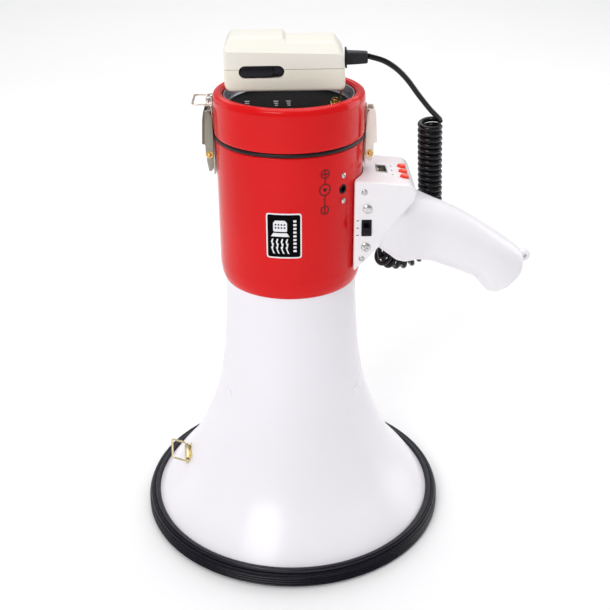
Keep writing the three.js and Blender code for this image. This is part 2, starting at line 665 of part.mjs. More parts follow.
// ---- coiled lead from the microphone to the handle ----
const LEAD_ROUTE = [
  [52.9, -3, 354.3], [63.4, 0, 350.4], [72.4, 4, 344.1], [80.9, 9, 335],
  [89.8, 14, 322.7], [98.5, 18.5, 311.5], [104.5, 22, 304.9], [107, 24.3, 301.9],
];
const COIL_ROUTE = [
  [100.5, 27, 300], [101.5, 28.5, 280], [102.8, 30, 257], [104, 31, 234], [104, 31.5, 216], [100, 32, 202],
  [90, 32, 193], [79, 31, 191.5], [71.5, 29, 194.6], [67, 26.3, 199.6],
];
const TAIL_ROUTE = [[63.7, 20, 208.4], [64.8, 20.3, 207.3], [65.9, 22.8, 204.4], [66.6, 25.4, 200.9]];

function makeLead() {
  add('cord_lead', tube(LEAD_ROUTE, CORD_RADIUS, 8, 12), BLACK);
  add('cord_coil', tube(COIL_ROUTE, COIL_RADIUS, 12, 20), BLACK);
  add('cord_tail', tube(TAIL_ROUTE, CORD_RADIUS, 8, 3), BLACK);
}

makeHorn();
makeRimGuard();
makeThroat();
makeReflector();
makeDriver();
makeAmplifier();
makeBatteries();
makeBody();
makeSocket();
makeLid();
makeLatch('left', 0, 273);
makeLatch('right', Math.PI, 279.5);
makeUpperRing();
makeLowerRing();
makeHandleShells();
makeFrontScrews();
makeModeSwitch();
makeTopControls();
makeGland();
makeMicrophone();
makeLead();

export default megaphone;
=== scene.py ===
"""A handheld megaphone standing on its bell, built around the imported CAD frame."""
import math

import bmesh
import bpy
import numpy as np
from mathutils import Matrix, Vector


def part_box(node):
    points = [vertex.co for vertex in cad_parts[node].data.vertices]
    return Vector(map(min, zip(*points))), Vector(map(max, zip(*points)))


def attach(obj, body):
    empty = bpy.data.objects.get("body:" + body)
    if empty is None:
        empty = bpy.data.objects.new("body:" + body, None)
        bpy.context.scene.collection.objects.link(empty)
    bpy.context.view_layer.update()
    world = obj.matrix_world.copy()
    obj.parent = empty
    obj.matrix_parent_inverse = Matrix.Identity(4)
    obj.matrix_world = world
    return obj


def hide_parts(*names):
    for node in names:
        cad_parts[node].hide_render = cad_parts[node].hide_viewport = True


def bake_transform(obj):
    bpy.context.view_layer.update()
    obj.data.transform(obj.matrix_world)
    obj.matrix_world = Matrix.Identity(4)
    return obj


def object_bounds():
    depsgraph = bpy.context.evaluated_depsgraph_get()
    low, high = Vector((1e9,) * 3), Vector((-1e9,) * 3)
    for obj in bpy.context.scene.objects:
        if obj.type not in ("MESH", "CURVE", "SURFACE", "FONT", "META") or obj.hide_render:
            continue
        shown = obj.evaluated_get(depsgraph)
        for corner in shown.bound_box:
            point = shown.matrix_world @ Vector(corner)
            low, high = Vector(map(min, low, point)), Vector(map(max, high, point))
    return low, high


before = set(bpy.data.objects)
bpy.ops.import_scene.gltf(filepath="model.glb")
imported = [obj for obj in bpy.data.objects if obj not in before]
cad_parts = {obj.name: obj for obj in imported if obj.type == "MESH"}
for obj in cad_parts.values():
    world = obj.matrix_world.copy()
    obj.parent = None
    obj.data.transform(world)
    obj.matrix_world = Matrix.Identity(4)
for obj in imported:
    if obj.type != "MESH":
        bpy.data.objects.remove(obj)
cad_box = [[float(v) for v in corner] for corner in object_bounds()]

MM = 0.001
body_low, body_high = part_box("body_shell")
AXIS_X = (body_low[0] + body_high[0]) / 2  # the bell's axis, in metres


def at(x, y, z):
    """A point given in millimetres from the foot of the bell's axis."""
    return Vector((AXIS_X + x * MM, y * MM, z * MM))


# ---------------------------------------------------------------- camera and stage
CAMERA_PLACE = (0, -677.6, 515.1)
CAMERA_PITCH = 0.4353
CAMERA_ROLL = -0.0101
SENSOR = 36  # millimetres, as is the lens
LENS = 60.31
LENS_SHIFT = (0.0233, -0.0649)  # how far the picture is cropped off the lens axis, in shares of its width


def make_camera():
    data = bpy.data.cameras.new("camera")
    data.sensor_width = SENSOR
    data.lens = LENS
    data.shift_x, data.shift_y = LENS_SHIFT
    data.clip_start = 0.01
    camera = bpy.data.objects.new("camera", data)
    bpy.context.scene.collection.objects.link(camera)
    forward = Vector((0, math.cos(CAMERA_PITCH), -math.sin(CAMERA_PITCH)))
    side = Vector((1, 0, 0))
    rise = side.cross(forward)
    right = math.cos(CAMERA_ROLL) * side + math.sin(CAMERA_ROLL) * rise
    up = -math.sin(CAMERA_ROLL) * side + math.cos(CAMERA_ROLL) * rise
    turn = Matrix((right, up, -forward)).transposed().to_4x4()
    camera.matrix_world = Matrix.Translation(at(*CAMERA_PLACE)) @ turn
    bpy.context.scene.camera = camera


make_camera()


# ---------------------------------------------------------------- mesh helpers
def placed(point, angle=0.0, axis="Z"):
    """A frame of millimetres at a point in metres, turned about one axis."""
    return Matrix.Translation(point) @ Matrix.Rotation(angle, 4, axis) @ Matrix.Scale(MM, 4)


def about_bell(angle):
    """A turn about the bell's own axis."""
    foot = at(0, 0, 0)
    return Matrix.Translation(foot) @ Matrix.Rotation(angle, 4, "Z") @ Matrix.Translation(-foot)


def local(matrix):
    return lambda u, v, w: matrix @ Vector((u, v, w))


def linked(name, mesh):
    obj = bpy.data.objects.new(name, mesh)
    bpy.context.scene.collection.objects.link(obj)
    return obj


def new_object(name, vertices, faces, smooth=True):
    mesh = bpy.data.meshes.new(name)
    mesh.from_pydata([tuple(v) for v in vertices], [], faces)
    mesh.validate()
    bm = bmesh.new()
    bm.from_mesh(mesh)
    bmesh.ops.remove_doubles(bm, verts=bm.verts, dist=1e-7)
    bmesh.ops.recalc_face_normals(bm, faces=bm.faces)
    bm.to_mesh(mesh)
    bm.free()
    obj = linked(name, mesh)
    return shade(obj) if smooth else obj


def shade(obj, angle=35):
    mesh = obj.data
    mesh.polygons.foreach_set("use_smooth", [True] * len(mesh.polygons))
    mesh.set_sharp_from_angle(angle=math.radians(angle))
    return obj


def finish_piece(obj, body, material, replaced=()):
    obj.data.materials.clear()
    obj.data.materials.append(material)
    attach(obj, body)
    if replaced:
        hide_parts(*replaced)
    return obj


def finish_group(name, objects, body, material, replaced=()):
    return finish_piece(join_meshes(name, objects), body, material, replaced)


def apply_modifiers(obj):
    depsgraph = bpy.context.evaluated_depsgraph_get()
    mesh = bpy.data.meshes.new_from_object(obj.evaluated_get(depsgraph))
    obj.modifiers.clear()
    obj.data = mesh
    return obj


def bevel(obj, width, segments=3, angle=30):
    modifier = obj.modifiers.new("bevel", "BEVEL")
    modifier.width = width * MM
    modifier.segments = segments
    modifier.limit_method = "ANGLE"
    modifier.angle_limit = math.radians(angle)
    modifier.use_clamp_overlap = True
    apply_modifiers(obj)
    return shade(obj)


def boolean(obj, tool, operation="DIFFERENCE"):
    modifier = obj.modifiers.new("boolean", "BOOLEAN")
    modifier.object = tool
    modifier.operation = operation
    modifier.solver = "EXACT"
    bpy.context.view_layer.update()
    apply_modifiers(obj)
    bpy.data.objects.remove(tool)
    return obj


def join_meshes(name, objects):
    bm = bmesh.new()
    for obj in objects:
        part = obj.data.copy()
        part.transform(obj.matrix_world)
        bm.from_mesh(part)
        bpy.data.meshes.remove(part)
        bpy.data.objects.remove(obj)
    mesh = bpy.data.meshes.new(name)
    bm.to_mesh(mesh)
    bm.free()
    return shade(linked(name, mesh))


def rounded(points, radius, steps=5, closed=True):
    """An outline with its corners rounded; a corner's own radius may follow its two coordinates."""
    out = []
    count = len(points)
    for i, corner in enumerate(points):
        here = Vector(corner[:2])
        reach = corner[2] if len(corner) > 2 else radius
        if (not closed and i in (0, count - 1)) or reach <= 0:
            out.append(here)
            continue
        before = Vector(points[i - 1][:2]) - here
        after = Vector(points[(i + 1) % count][:2]) - here
        angle = before.angle(after)
        if angle > math.pi - 0.02:
            out.append(here)
            continue
        back = min(reach / math.tan(angle / 2), before.length * 0.49, after.length * 0.49)
        start = here + before.normalized() * back
        end = here + after.normalized() * back
        for k in range(steps + 1):
            t = k / steps
            out.append(start * (1 - t) ** 2 + here * 2 * t * (1 - t) + end * t * t)
    return [(p.x, p.y) for p in out]


def spline(points, steps):
    """Points along a Catmull-Rom curve through the given ones, steps for each span."""
    pts = [Vector(p) for p in points]
    pts = [2 * pts[0] - pts[1], *pts, 2 * pts[-1] - pts[-2]]
    out = []
    for i in range(1, len(pts) - 2):
        a, b, c, d = pts[i - 1:i + 3]
        for k in range(steps):
            t = k / steps
            out.append(0.5 * (2 * b + (c - a) * t + (2 * a - 5 * b + 4 * c - d) * t ** 2
                              + (3 * b - a - 3 * c + d) * t ** 3))
    out.append(pts[-2])
    return out


def spun(name, profile, matrix, segments=40):
    """A closed profile of (radius, height) turned about its own axis and put in place by a frame."""
    verts, rings = [], []
    for r, h in profile:
        count = 1 if r < 1e-6 else segments
        rings.append([len(verts) + k % count for k in range(segments)])
        turns = [2 * math.pi * k / segments for k in range(count)]
        verts += [matrix @ Vector((r * math.cos(a), r * math.sin(a), h)) for a in turns]
    last = len(rings) - 1 if profile[0][0] < 1e-6 else len(rings)
    faces = []
    for i in range(last):
        lower, upper = rings[i], rings[(i + 1) % len(rings)]
        for k in range(segments):
            n = (k + 1) % segments
            face = list(dict.fromkeys((lower[k], lower[n], upper[n], upper[k])))
            if len(face) > 2:
                faces.append(face)
    return new_object(name, verts, faces)


def lathe(name, profile, segments):
    """A closed profile of (radius, z) in millimetres turned about the bell's axis."""
    return spun(name, profile, placed(at(0, 0, 0)), segments)


def loft(name, rings, closed=False):
    """A skin over rings of equally many points, with flat ends unless it closes on itself."""
    count, total = len(rings[0]), len(rings)
    faces = []
    for i in range(total if closed else total - 1):
        low, high = i * count, (i + 1) % total * count
        faces += [[low + k, low + (k + 1) % count, high + (k + 1) % count, high + k] for k in range(count)]
    if not closed:
        faces += [list(range(count)), list(range(total * count - 1, (total - 1) * count - 1, -1))]
    return new_object(name, [point for ring in rings for point in ring], faces)


def extrude(name, outline, low, high, place):
    """An outline of (u, v) drawn from low to high along w; place(u, v, w) gives the point."""
    count = len(outline)
    verts = [place(u, v, w) for w in (low, high) for u, v in outline]
    faces = [list(range(count)), list(range(2 * count - 1, count - 1, -1))]
    faces += [[i, i + count, (i + 1) % count + count, (i + 1) % count] for i in range(count)]
    return new_object(name, verts, faces)


def in_xz(u, v, w):
    """Outline in X and Z, width along Y."""
    return at(u, w, v)


def in_xy(u, v, w):
    return at(u, v, w)


def block(name, size, centre, round_by=0.4, segments=3):
    sx, sy, sz = (s / 2 for s in size)
    cx, cy, cz = centre
    corners = [(-sx, -sy), (sx, -sy), (sx, sy), (-sx, sy)]
    obj = extrude(name, [(cx + x, cy + y) for x, y in corners], cz - sz, cz + sz, in_xy)
    return bevel(obj, round_by, segments) if round_by else obj


def around(point, first, second, radius, sides):
    """Points in metres on a circle in the plane of two directions; the radius is in millimetres."""
    turns = [2 * math.pi * k / sides for k in range(sides)]
    return [point + (first * math.cos(a) + second * math.sin(a)) * (radius * MM) for a in turns]


def tube(name, points, radius, sides):
    """A round bar with closed ends along points in metres."""
    count = len(points)
    ways = [(points[min(i + 1, count - 1)] - points[max(i - 1, 0)]).normalized() for i in range(count)]
    normal = ways[0].orthogonal().normalized()
    rings = []
    for point, way in zip(points, ways):
        normal = (normal - way * normal.dot(way)).normalized()
        rings.append(around(point, normal, way.cross(normal), radius, sides))
    return loft(name, rings)


def loop_tube(name, points, radius, sides):
    """A round bar bent into a flat closed loop through points in metres."""
    count = len(points)
    centre = sum(points, Vector()) / count
    flat = (points[0] - centre).cross(points[count // 4] - centre).normalized()
    rings = []
    for i, point in enumerate(points):
        way = (points[(i + 1) % count] - points[i - 1]).normalized()
        rings.append(around(point, way.cross(flat), flat, radius, sides))
    return loft(name, rings, closed=True)


def plate(name, points, faces, low, high, place, split=0.0):
    """A thin plate of flat faces in (u, v), from low to high along w, cut along u so that it can bend."""
    bm = bmesh.new()
    verts = [bm.verts.new((u, v, low)) for u, v in points]
    for face in faces:
        bm.faces.new([verts[i] for i in face])
    if split:
        us = [u for u, _ in points]
        cut = math.ceil(min(us) / split) * split
        while cut < max(us):
            geometry = [*bm.verts, *bm.edges, *bm.faces]
            bmesh.ops.bisect_plane(bm, geom=geometry, plane_co=(cut, 0, 0), plane_no=(1, 0, 0), dist=1e-6)
            cut += split
    made = bmesh.ops.extrude_face_region(bm, geom=list(bm.faces))
    for element in made["geom"]:
        if isinstance(element, bmesh.types.BMVert):
            element.co.z = high
    for vert in bm.verts:
        vert.co = place(*vert.co)
    bmesh.ops.recalc_face_normals(bm, faces=bm.faces)
    mesh = bpy.data.meshes.new(name)
    bm.to_mesh(mesh)
    bm.free()
    return shade(linked(name, mesh))


def patch(name, outline, low, high, place, split=0.0):
    return plate(name, outline, [list(range(len(outline)))], low, high, place, split)


def band(name, outer, inner, low, high, place, split=0.0):
    """A plate between two outlines of the same number of points."""
    n = len(outer)
    faces = [[i, (i + 1) % n, n + (i + 1) % n, n + i] for i in range(n)]
    return plate(name, [*outer, *inner], faces, low, high, place, split)


def circle(radius, centre=(0, 0), steps=28):
    return [(centre[0] + radius * math.cos(2 * math.pi * k / steps),
             centre[1] + radius * math.sin(2 * math.pi * k / steps)) for k in range(steps)]


def rectangle(width, height, radius=0.0, centre=(0, 0), steps=5):
    x, y = width / 2, height / 2
    corners = [(centre[0] + a, centre[1] + b) for a, b in ((-x, -y), (x, -y), (x, y), (-x, y))]
    return rounded(corners, radius, steps) if radius else corners


def stadium(length, height, centre=(0, 0), steps=10):
    r = height / 2
    out = []
    for side in (1, -1):
        for k in range(steps + 1):
            a = -math.pi / 2 + math.pi * k / steps + (0 if side > 0 else math.pi)
            out.append((centre[0] + side * (length / 2 - r) + r * math.cos(a), centre[1] + r * math.sin(a)))
    return out


def facing(angle, radius, z):
    """A frame of millimetres on the wall: its Z points away from the bell's axis, its Y up."""
    out = Vector((math.sin(angle), -math.cos(angle), 0))
    along = Vector((math.cos(angle), math.sin(angle), 0))
    turn = Matrix((along, Vector((0, 0, 1)), out)).transposed().to_4x4()
    return Matrix.Translation(at(out.x * radius, out.y * radius, z)) @ turn @ Matrix.Scale(MM, 4)


# ---------------------------------------------------------------- materials
def rgb(red, green, blue):
    """A screen colour of 0 to 255 as the linear colour a shader takes."""
    parts = [c / 255 for c in (red, green, blue)]
    return tuple(p / 12.92 if p <= 0.04045 else ((p + 0.055) / 1.055) ** 2.4 for p in parts) + (1.0,)


def scaled(colour, factor):
    return tuple(min(1.0, c * factor) for c in colour[:3]) + (1.0,)


NOISE_SPAN = (0.3, 0.7)  # a noise seldom leaves this range
NOISE_ROUGHNESS = 0.55
WORN_OVER = 0.06  # how far past its start the worn colour takes over on an edge


class Surface:
    """A procedural material built up from a principled shader and noises in the object's own space."""

    def __init__(self, name, roughness, metallic=0.0, specular=0.35):
        self.mat = bpy.data.materials.new(name)
        self.mat.use_nodes = True
        self.nodes = self.mat.node_tree.nodes
        self.shader = self.nodes["Principled BSDF"]
        self.fill(self.shader, {"Roughness": roughness, "Metallic": metallic, "Specular IOR Level": specular})
        self.place = self.nodes.new("ShaderNodeTexCoord").outputs["Object"]

    def fill(self, node, inputs):
        """Sets inputs by name, each to a value or to another node's output."""
        for name, value in inputs.items():
            if isinstance(value, bpy.types.NodeSocket):
                self.mat.node_tree.links.new(value, node.inputs[name])
            else:
                node.inputs[name].default_value = value
        return node

    def add(self, kind, inputs):
        return self.fill(self.nodes.new("ShaderNode" + kind), inputs)

    def noise(self, scale, detail=4.0, stretch=(1, 1, 1)):
        vector = self.add("Mapping", {"Scale": stretch, "Vector": self.place}).outputs["Vector"]
        inputs = {"Scale": scale, "Detail": detail, "Roughness": NOISE_ROUGHNESS, "Vector": vector}
        return self.add("TexNoise", inputs).outputs["Fac"]

    def ramp(self, value, stops):
        node = self.add("ValToRGB", {"Fac": value})
        ends = node.color_ramp.elements
        while len(ends) < len(stops):
            ends.new(0.5)
        for end, (position, colour) in zip(ends, stops):
            end.position = position
            end.color = colour
        return node.outputs["Color"]

    def spread(self, value, low, high):
        inputs = {"Value": value, "From Min": NOISE_SPAN[0], "From Max": NOISE_SPAN[1], "To Min": low,
                  "To Max": high}
        return self.add("MapRange", inputs).outputs["Result"]

    def worn(self, tint, colour, start):
        """Lays a worn colour over a tint on its outer edges."""
        node = self.nodes.new("ShaderNodeMix")
        node.data_type = "RGBA"
        edge = self.nodes.new("ShaderNodeNewGeometry").outputs["Pointiness"]
        factor = self.ramp(edge, [(start, (0, 0, 0, 1)), (start + WORN_OVER, (1, 1, 1, 1))])
        first, second = [socket for socket in node.inputs if socket.name in "AB" and socket.type == "RGBA"]
        self.mat.node_tree.links.new(factor, node.inputs["Factor"])
        self.mat.node_tree.links.new(tint, first)
        second.default_value = colour
        return [socket for socket in node.outputs if socket.type == "RGBA"][0]

    def finish(self, colour, roughness, height, depth):
        normal = self.add("Bump", {"Distance": depth, "Height": height}).outputs["Normal"]
        self.fill(self.shader, {"Base Color": colour, "Roughness": roughness, "Normal": normal})
        return self.mat


def plain(name, colour, roughness, metallic=0.0, vary=0.06, patches=35, grain=2500, depth=0.00004,
          spread=0.06, stretch=(1, 1, 1), worn=None, worn_from=0.53, specular=0.35):
    """A moulded, painted or plated finish: soft patches of colour, a grain, uneven gloss and worn edges."""
    s = Surface(name, roughness, metallic, specular)
    shades = (scaled(colour, 1 - vary), scaled(colour, 1 + vary))
    tint = s.ramp(s.noise(patches, stretch=stretch), list(zip(NOISE_SPAN, shades)))
    if worn:
        tint = s.worn(tint, worn, worn_from)
    gloss = s.spread(s.noise(patches * 6, 6, stretch), roughness - spread, roughness + spread)
    return s.finish(tint, gloss, s.noise(grain, 3, stretch), depth)


def spun_rubber():
    s = Surface("rim_rubber", 0.4, specular=0.3)
    dust = s.ramp(s.noise(240, 6), [(0.35, rgb(8, 7, 18)), (0.62, rgb(15, 14, 28)), (0.8, rgb(40, 39, 54))])
    return s.finish(dust, s.spread(s.noise(90), 0.26, 0.42), s.noise(1800, 4), 0.00012)


MAT = {
    "red": plain("red_paint", rgb(218, 14, 18), 0.16, vary=0.05, patches=18, grain=900, depth=0.00003,
                 spread=0.03, worn=rgb(226, 48, 50), worn_from=0.57, specular=0.22),
    "white": plain("white_paint", rgb(243, 240, 246), 0.24, vary=0.012, patches=14, grain=1800, depth=0.00002,
                   spread=0.03, specular=0.4),
    "rim": spun_rubber(),
    "handle": plain("handle_white", rgb(243, 241, 245), 0.26, vary=0.008, patches=22, grain=2400,
                    depth=0.00003,
                    spread=0.015, specular=0.4),
    "ivory": plain("ivory_plastic", rgb(238, 235, 225), 0.42, vary=0.015, patches=30, grain=3200,
                   depth=0.00006,
                   spread=0.05, worn=rgb(240, 238, 228), worn_from=0.56),
    "ivory_low": plain("ivory_plastic_lower", rgb(237, 234, 219), 0.42, vary=0.015, patches=30, grain=3200,
                       depth=0.00006, spread=0.05, worn=rgb(238, 236, 222), worn_from=0.56),
    "black": plain("black_plastic", rgb(22, 22, 26), 0.4, vary=0.25, patches=60, grain=3600, depth=0.00008,
                   worn=rgb(52, 52, 56), worn_from=0.56, specular=0.2),
    "gloss_black": plain("gloss_black", rgb(12, 12, 22), 0.16, vary=0.3, patches=80, grain=900, depth=0.00005,
                         spread=0.06, specular=0.25),
    "boot": plain("boot_rubber", rgb(34, 35, 38), 0.5, vary=0.25, patches=90, grain=2600, depth=0.0001,
                  worn=rgb(66, 66, 70), worn_from=0.55, specular=0.25),
    "seal": plain("seal_rubber", rgb(26, 14, 18), 0.4, vary=0.3, patches=120, grain=2600, depth=0.0001,
                  specular=0.3),
    "panel": plain("panel_grey", rgb(150, 153, 162), 0.28, 0.7, vary=0.05, patches=70, grain=2600,
                   depth=0.00006),
    "label": plain("label_black", rgb(7, 8, 9), 0.4, vary=0.2, patches=60, grain=1400, depth=0.00004,
                   spread=0.06, specular=0.02),
    # a darker copy of the zinc plate: painted shade for the left latch's cover strip, which lies in shadow
    "zinc_painted_shade": plain("zinc_painted_shade", rgb(122, 116, 100), 0.38, 1.0, vary=0.2, patches=110, grain=1600,
                       depth=0.0001,
                       spread=0.12, stretch=(1, 1, 0.3)),
    # a paler, less metallic copy of the zinc plate: a painted reflection for the right latch, which looks
    # washed pale by the light on it
    "zinc_painted_reflection": plain("zinc_painted_reflection", rgb(246, 240, 230), 0.42, 0.35, vary=0.08, patches=110, grain=1600,
                       depth=0.0001,
                       spread=0.1, stretch=(1, 1, 0.3)),
    "print_white": plain("print_white", rgb(236, 235, 238), 0.4, vary=0.03, patches=140, grain=4000,
                         depth=0.00003),
    "print_black": plain("print_black", rgb(40, 8, 12), 0.35, vary=0.3, patches=200, grain=4000,
                         depth=0.00003),
    "zinc": plain("zinc_plate", rgb(158, 153, 140), 0.36, 1.0, vary=0.18, patches=110, grain=1600,
                  depth=0.0001,
                  spread=0.12, stretch=(1, 1, 0.3), worn=rgb(205, 202, 192), worn_from=0.53),
    "chrome": plain("chrome", rgb(214, 212, 210), 0.16, 1.0, vary=0.07, patches=160, grain=1800,
                    depth=0.00005,
                    spread=0.08, worn=rgb(240, 238, 232), worn_from=0.55),
    "pale_chrome": plain("pale_chrome", rgb(222, 206, 196), 0.2, 1.0, vary=0.1, patches=150, grain=1800,
                         depth=0.00005, spread=0.08),
    "brass": plain("brass", rgb(206, 170, 96), 0.24, 1.0, vary=0.12, patches=170, grain=1900, depth=0.00006,
                   spread=0.08, worn=rgb(236, 208, 140), worn_from=0.54),
    "pale_brass": plain("pale_brass", rgb(222, 208, 166), 0.26, 1.0, vary=0.1, patches=170, grain=1900,
                        depth=0.00006, spread=0.08),
    "board": plain("circuit_board", rgb(30, 92, 48), 0.34, vary=0.3, patches=420, grain=1500, depth=0.0001),
    "orange": plain("button_orange", rgb(240, 62, 40), 0.34, vary=0.06, patches=160, grain=3000,
                    depth=0.00006,
                    worn=rgb(248, 110, 88), worn_from=0.56),
    "cell": plain("cell_jacket", rgb(52, 72, 112), 0.3, 0.2, vary=0.25, patches=60, grain=900, depth=0.00006,
                  stretch=(1, 1, 0.15)),
    "cord": plain("cord_black", rgb(8, 8, 14), 0.2, vary=0.3, patches=180, grain=1500, depth=0.00005,
                  spread=0.06, specular=0.3),
    "magnet": plain("ferrite", rgb(44, 44, 46), 0.62, vary=0.2, patches=200, grain=2400, depth=0.00015),
}


# ---------------------------------------------------------------- the lead and its coil
CORD_RADIUS = 1.9
TURN_RADIUS = 7.1
FAN_FROM, FAN_OVER = 0.48, 0.12  # where along the coil its turns fan apart, and over how much of it
LAST_TURN = 0.45  # the coil stops this many turns short of its line's end
NARROW_OVER = 0.9  # the turns at the end over which the coil narrows
LINE_STEPS = 12
CLOSE_PITCH = 4.35
OPEN_PITCH = 4.9  # the turns fan apart where the coil bends under the grip
POINTS_PER_TURN = 22
LEAD_ROUTE = [(52.9, -3, 354.3), (63.4, 0, 350.4), (72.4, 4, 344.1), (80.9, 9, 335), (89.8, 14, 322.7),
              (98.5, 18.5, 311.5), (104.5, 22, 304.9), (107, 24.3, 301.9)]
COIL_ROUTE = [(100.5, 27, 300), (101.5, 28.5, 280), (102.8, 30, 257), (104, 31, 234), (104, 31.5, 216),
              (100, 32, 202), (90, 32, 193), (79, 31, 191.5), (71.5, 29, 194.6), (67, 26.3, 199.6)]
TAIL_ROUTE = [(66.6, 25.4, 201.6), (65.9, 22.8, 204.9), (64.8, 20.6, 207.3), (63.7, 20, 208.4)]


def path_length(points):
    return sum((b - a).length for a, b in zip(points, points[1:]))


def helix(route):
    """The wound lead: a helix round the coil's own line, drawn in to that line over its last turns."""
    line = spline([at(*p) for p in route], 40)
    total = path_length(line)
    first = at(*LEAD_ROUTE[-1]) - line[0]
    out, gone, turned, since = [], 0.0, 0.0, 0.0
    normal = first
    for a, b in zip(line, line[1:]):
        along = (b - a).normalized()
        step = (b - a).length / LINE_STEPS
        for k in range(LINE_STEPS):
            point = a.lerp(b, k / LINE_STEPS)
            normal = (normal - along * normal.dot(along)).normalized()
            bend = min(1.0, max(0.0, (gone / total - FAN_FROM) / FAN_OVER))
            pitch = (CLOSE_PITCH + (OPEN_PITCH - CLOSE_PITCH) * bend) * MM
            gone += step
            turn = 2 * math.pi * step / pitch
            turned += turn
            since += turn
            if since < 2 * math.pi / POINTS_PER_TURN:
                continue
            since = 0.0
            left = (total - gone) / (OPEN_PITCH * MM)
            if left < LAST_TURN:
                return out
            radius = TURN_RADIUS * MM * min(1.0, left / NARROW_OVER) ** 0.7
            side = along.cross(normal)
            out.append(point + (normal * math.cos(turned) - side * math.sin(turned)) * radius)
    return out


def make_cords():
    lead_line = spline([at(*p) for p in LEAD_ROUTE], 6)
    lead = tube("lead_straight", lead_line, CORD_RADIUS, 16)
    lead.data.materials.append(MAT["cord"])
    at(*LEAD_ROUTE[-1])
    at(*LEAD_ROUTE[0])
    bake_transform(lead)
    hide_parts("cord_lead")
    lead_length = path_length(lead_line)
    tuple(lead_line[0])

    wound = helix(COIL_ROUTE)
    tail = spline([*wound[-3:], *[at(*p) for p in TAIL_ROUTE]], 4)[9:]
    line = [*wound, *tail]
    coil = tube("lead_coil", line, CORD_RADIUS, 12)
    coil.data.materials.append(MAT["cord"])
    at(*COIL_ROUTE[4])
    at(*COIL_ROUTE[0])
    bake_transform(coil)
    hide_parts("cord_coil", "cord_tail")
    line.reverse()
    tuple(line[0])
    path_length(line)


make_cords()


# ---------------------------------------------------------------- bell, guard and reflector
HORN_POINTS = [(109, 7), (96.0, 25), (80.5, 45), (68.0, 70), (56.9, 100), (50.5, 135), (47.9, 170),
               (47.1, 196)]
HORN_WALL = 2.0
RIB_PITCH = 1.95
RIB_DEPTH = 1.2
SEAM_ANGLE = -0.33  # where the guard's two ends meet, from +X towards +Y
SEAM_RADIUS = 114.9


def horn_wall(offset):
    line = spline([Vector((r, z, 0)) for r, z in HORN_POINTS], 8)
    out = []
    for i, point in enumerate(line):
        along = (line[min(i + 1, len(line) - 1)] - line[max(i - 1, 0)]).normalized()
        out.append((point.x + along.y * offset, point.y - along.x * offset))
    return out


def make_bell():
    outer = horn_wall(0)
    inner = horn_wall(-HORN_WALL)
    spigot = [(44.7, 196), (44.7, 204), (42.7, 204)]
    bell = lathe("bell", [*outer, *spigot, *reversed(inner)], 192)
    finish_piece(bell, "case", MAT["white"], ["horn_bell"])

    ribs = []
    for k in range(4):
        low = 0.9 + RIB_PITCH * k
        for j in range(7):
            t = j / 6
            ribs.append((113.8 + RIB_DEPTH * math.sin(math.pi * t) - 0.05 * k, low + RIB_PITCH * t))
    profile = [(104.2, 0.3), (104.6, 0), (112.6, 0), (113.7, 0.4), *ribs, (114.3, 9.1), (113.4, 9.5),
               (113.9, 10.1),
               (113.4, 11.0), (112.5, 10.9), (112.5, 11.8), (111.4, 12.4), (110.7, 11.9), (110.1, 12.6),
               (108.4, 12.6), (107.2, 12.1), (106.6, 11.4), (106.1, 10.6), (109.3, 6.6), (108.9, 5.9),
               (107.1, 6.3), (104.1, 9.6), (103.2, 9.7), (102.9, 9.2), (102.7, 1.4), (103.2, 0.6)]
    guard = lathe("guard", profile, 256)
    seam = block("seam", (0.5, 5, 30), (0, 0, 0), 0)
    seam.data.transform(Matrix.Translation(-at(0, 0, 0)))
    place = at(SEAM_RADIUS * math.cos(SEAM_ANGLE), SEAM_RADIUS * math.sin(SEAM_ANGLE), 6)
    seam.data.transform(Matrix.Translation(place) @ Matrix.Rotation(SEAM_ANGLE + math.pi / 2, 4, "Z"))
    boolean(guard, seam)
    finish_piece(shade(guard, 40), "case", MAT["rim"], ["rim_guard"])


CUP_OUTSIDE = [(0.01, 58), (12, 60), (23, 67), (31, 80), (35, 100), (36, 142)]
CUP_INSIDE = [(34, 142), (33, 100), (29, 82), (21.5, 69.5), (11, 62.2), (0.01, 60)]


def make_throat():
    throat = lathe("throat", rounded([(10, 210.5), (20, 210.5), (20, 208.5), (12, 208.5), (14, 130), (17, 95),
                                      (16, 94.4), (15.2, 95), (12.2, 130)], 1.2, 3), 72)
    finish_piece(throat, "case", MAT["white"], ["throat_tube"])
    profile = []
    for side in (CUP_OUTSIDE, CUP_INSIDE):
        profile += [(p.x, p.y) for p in spline([Vector((r, z, 0)) for r, z in side], 7)]
    profile[0] = (0, 58)
    profile[-1] = (0, 60)
    cup = lathe("cup", profile, 96)
    fins = []
    for k in range(3):
        fin = extrude("fin", rounded([(34.2, 99), (55.6, 99), (52.7, 113), (34.2, 113)], 1.5), -1.2, 1.2,
                      in_xz)
        bevel(fin, 0.5, 2)
        foot = block("foot", (2.2, 8, 12), (54.2, 0, 106), 0.8)
        for piece in (fin, foot):
            piece.data.transform(about_bell(math.radians(90 + 120 * k)))
            fins.append(piece)
    rivet = spun("rivet", [(0, 1.0), (1.4, 0.8), (2.0, 0), (2.0, -1), (0, -1)],
                 placed(at(0, 0, 59.4), math.pi, "X"), 24)
    finish_group("reflector", [cup, *fins, rivet], "case", MAT["white"], ["reflector_cup"])


make_bell()
make_throat()


# ---------------------------------------------------------------- red body, label and power socket
BODY_R = 50.8
BODY_MIDDLE = 272  # the wall is BODY_R out at this height, and its slope changes here
SLOPE_ABOVE, SLOPE_BELOW = 0.0149, 0.0047
JACK_ANGLE = 0.77
JACK_Z = 272.9
JACK_RADIUS = 3.0
JACK_SCREWS = {"dc_jack_screw_upper": 282.6, "dc_jack_screw_lower": 264.6}


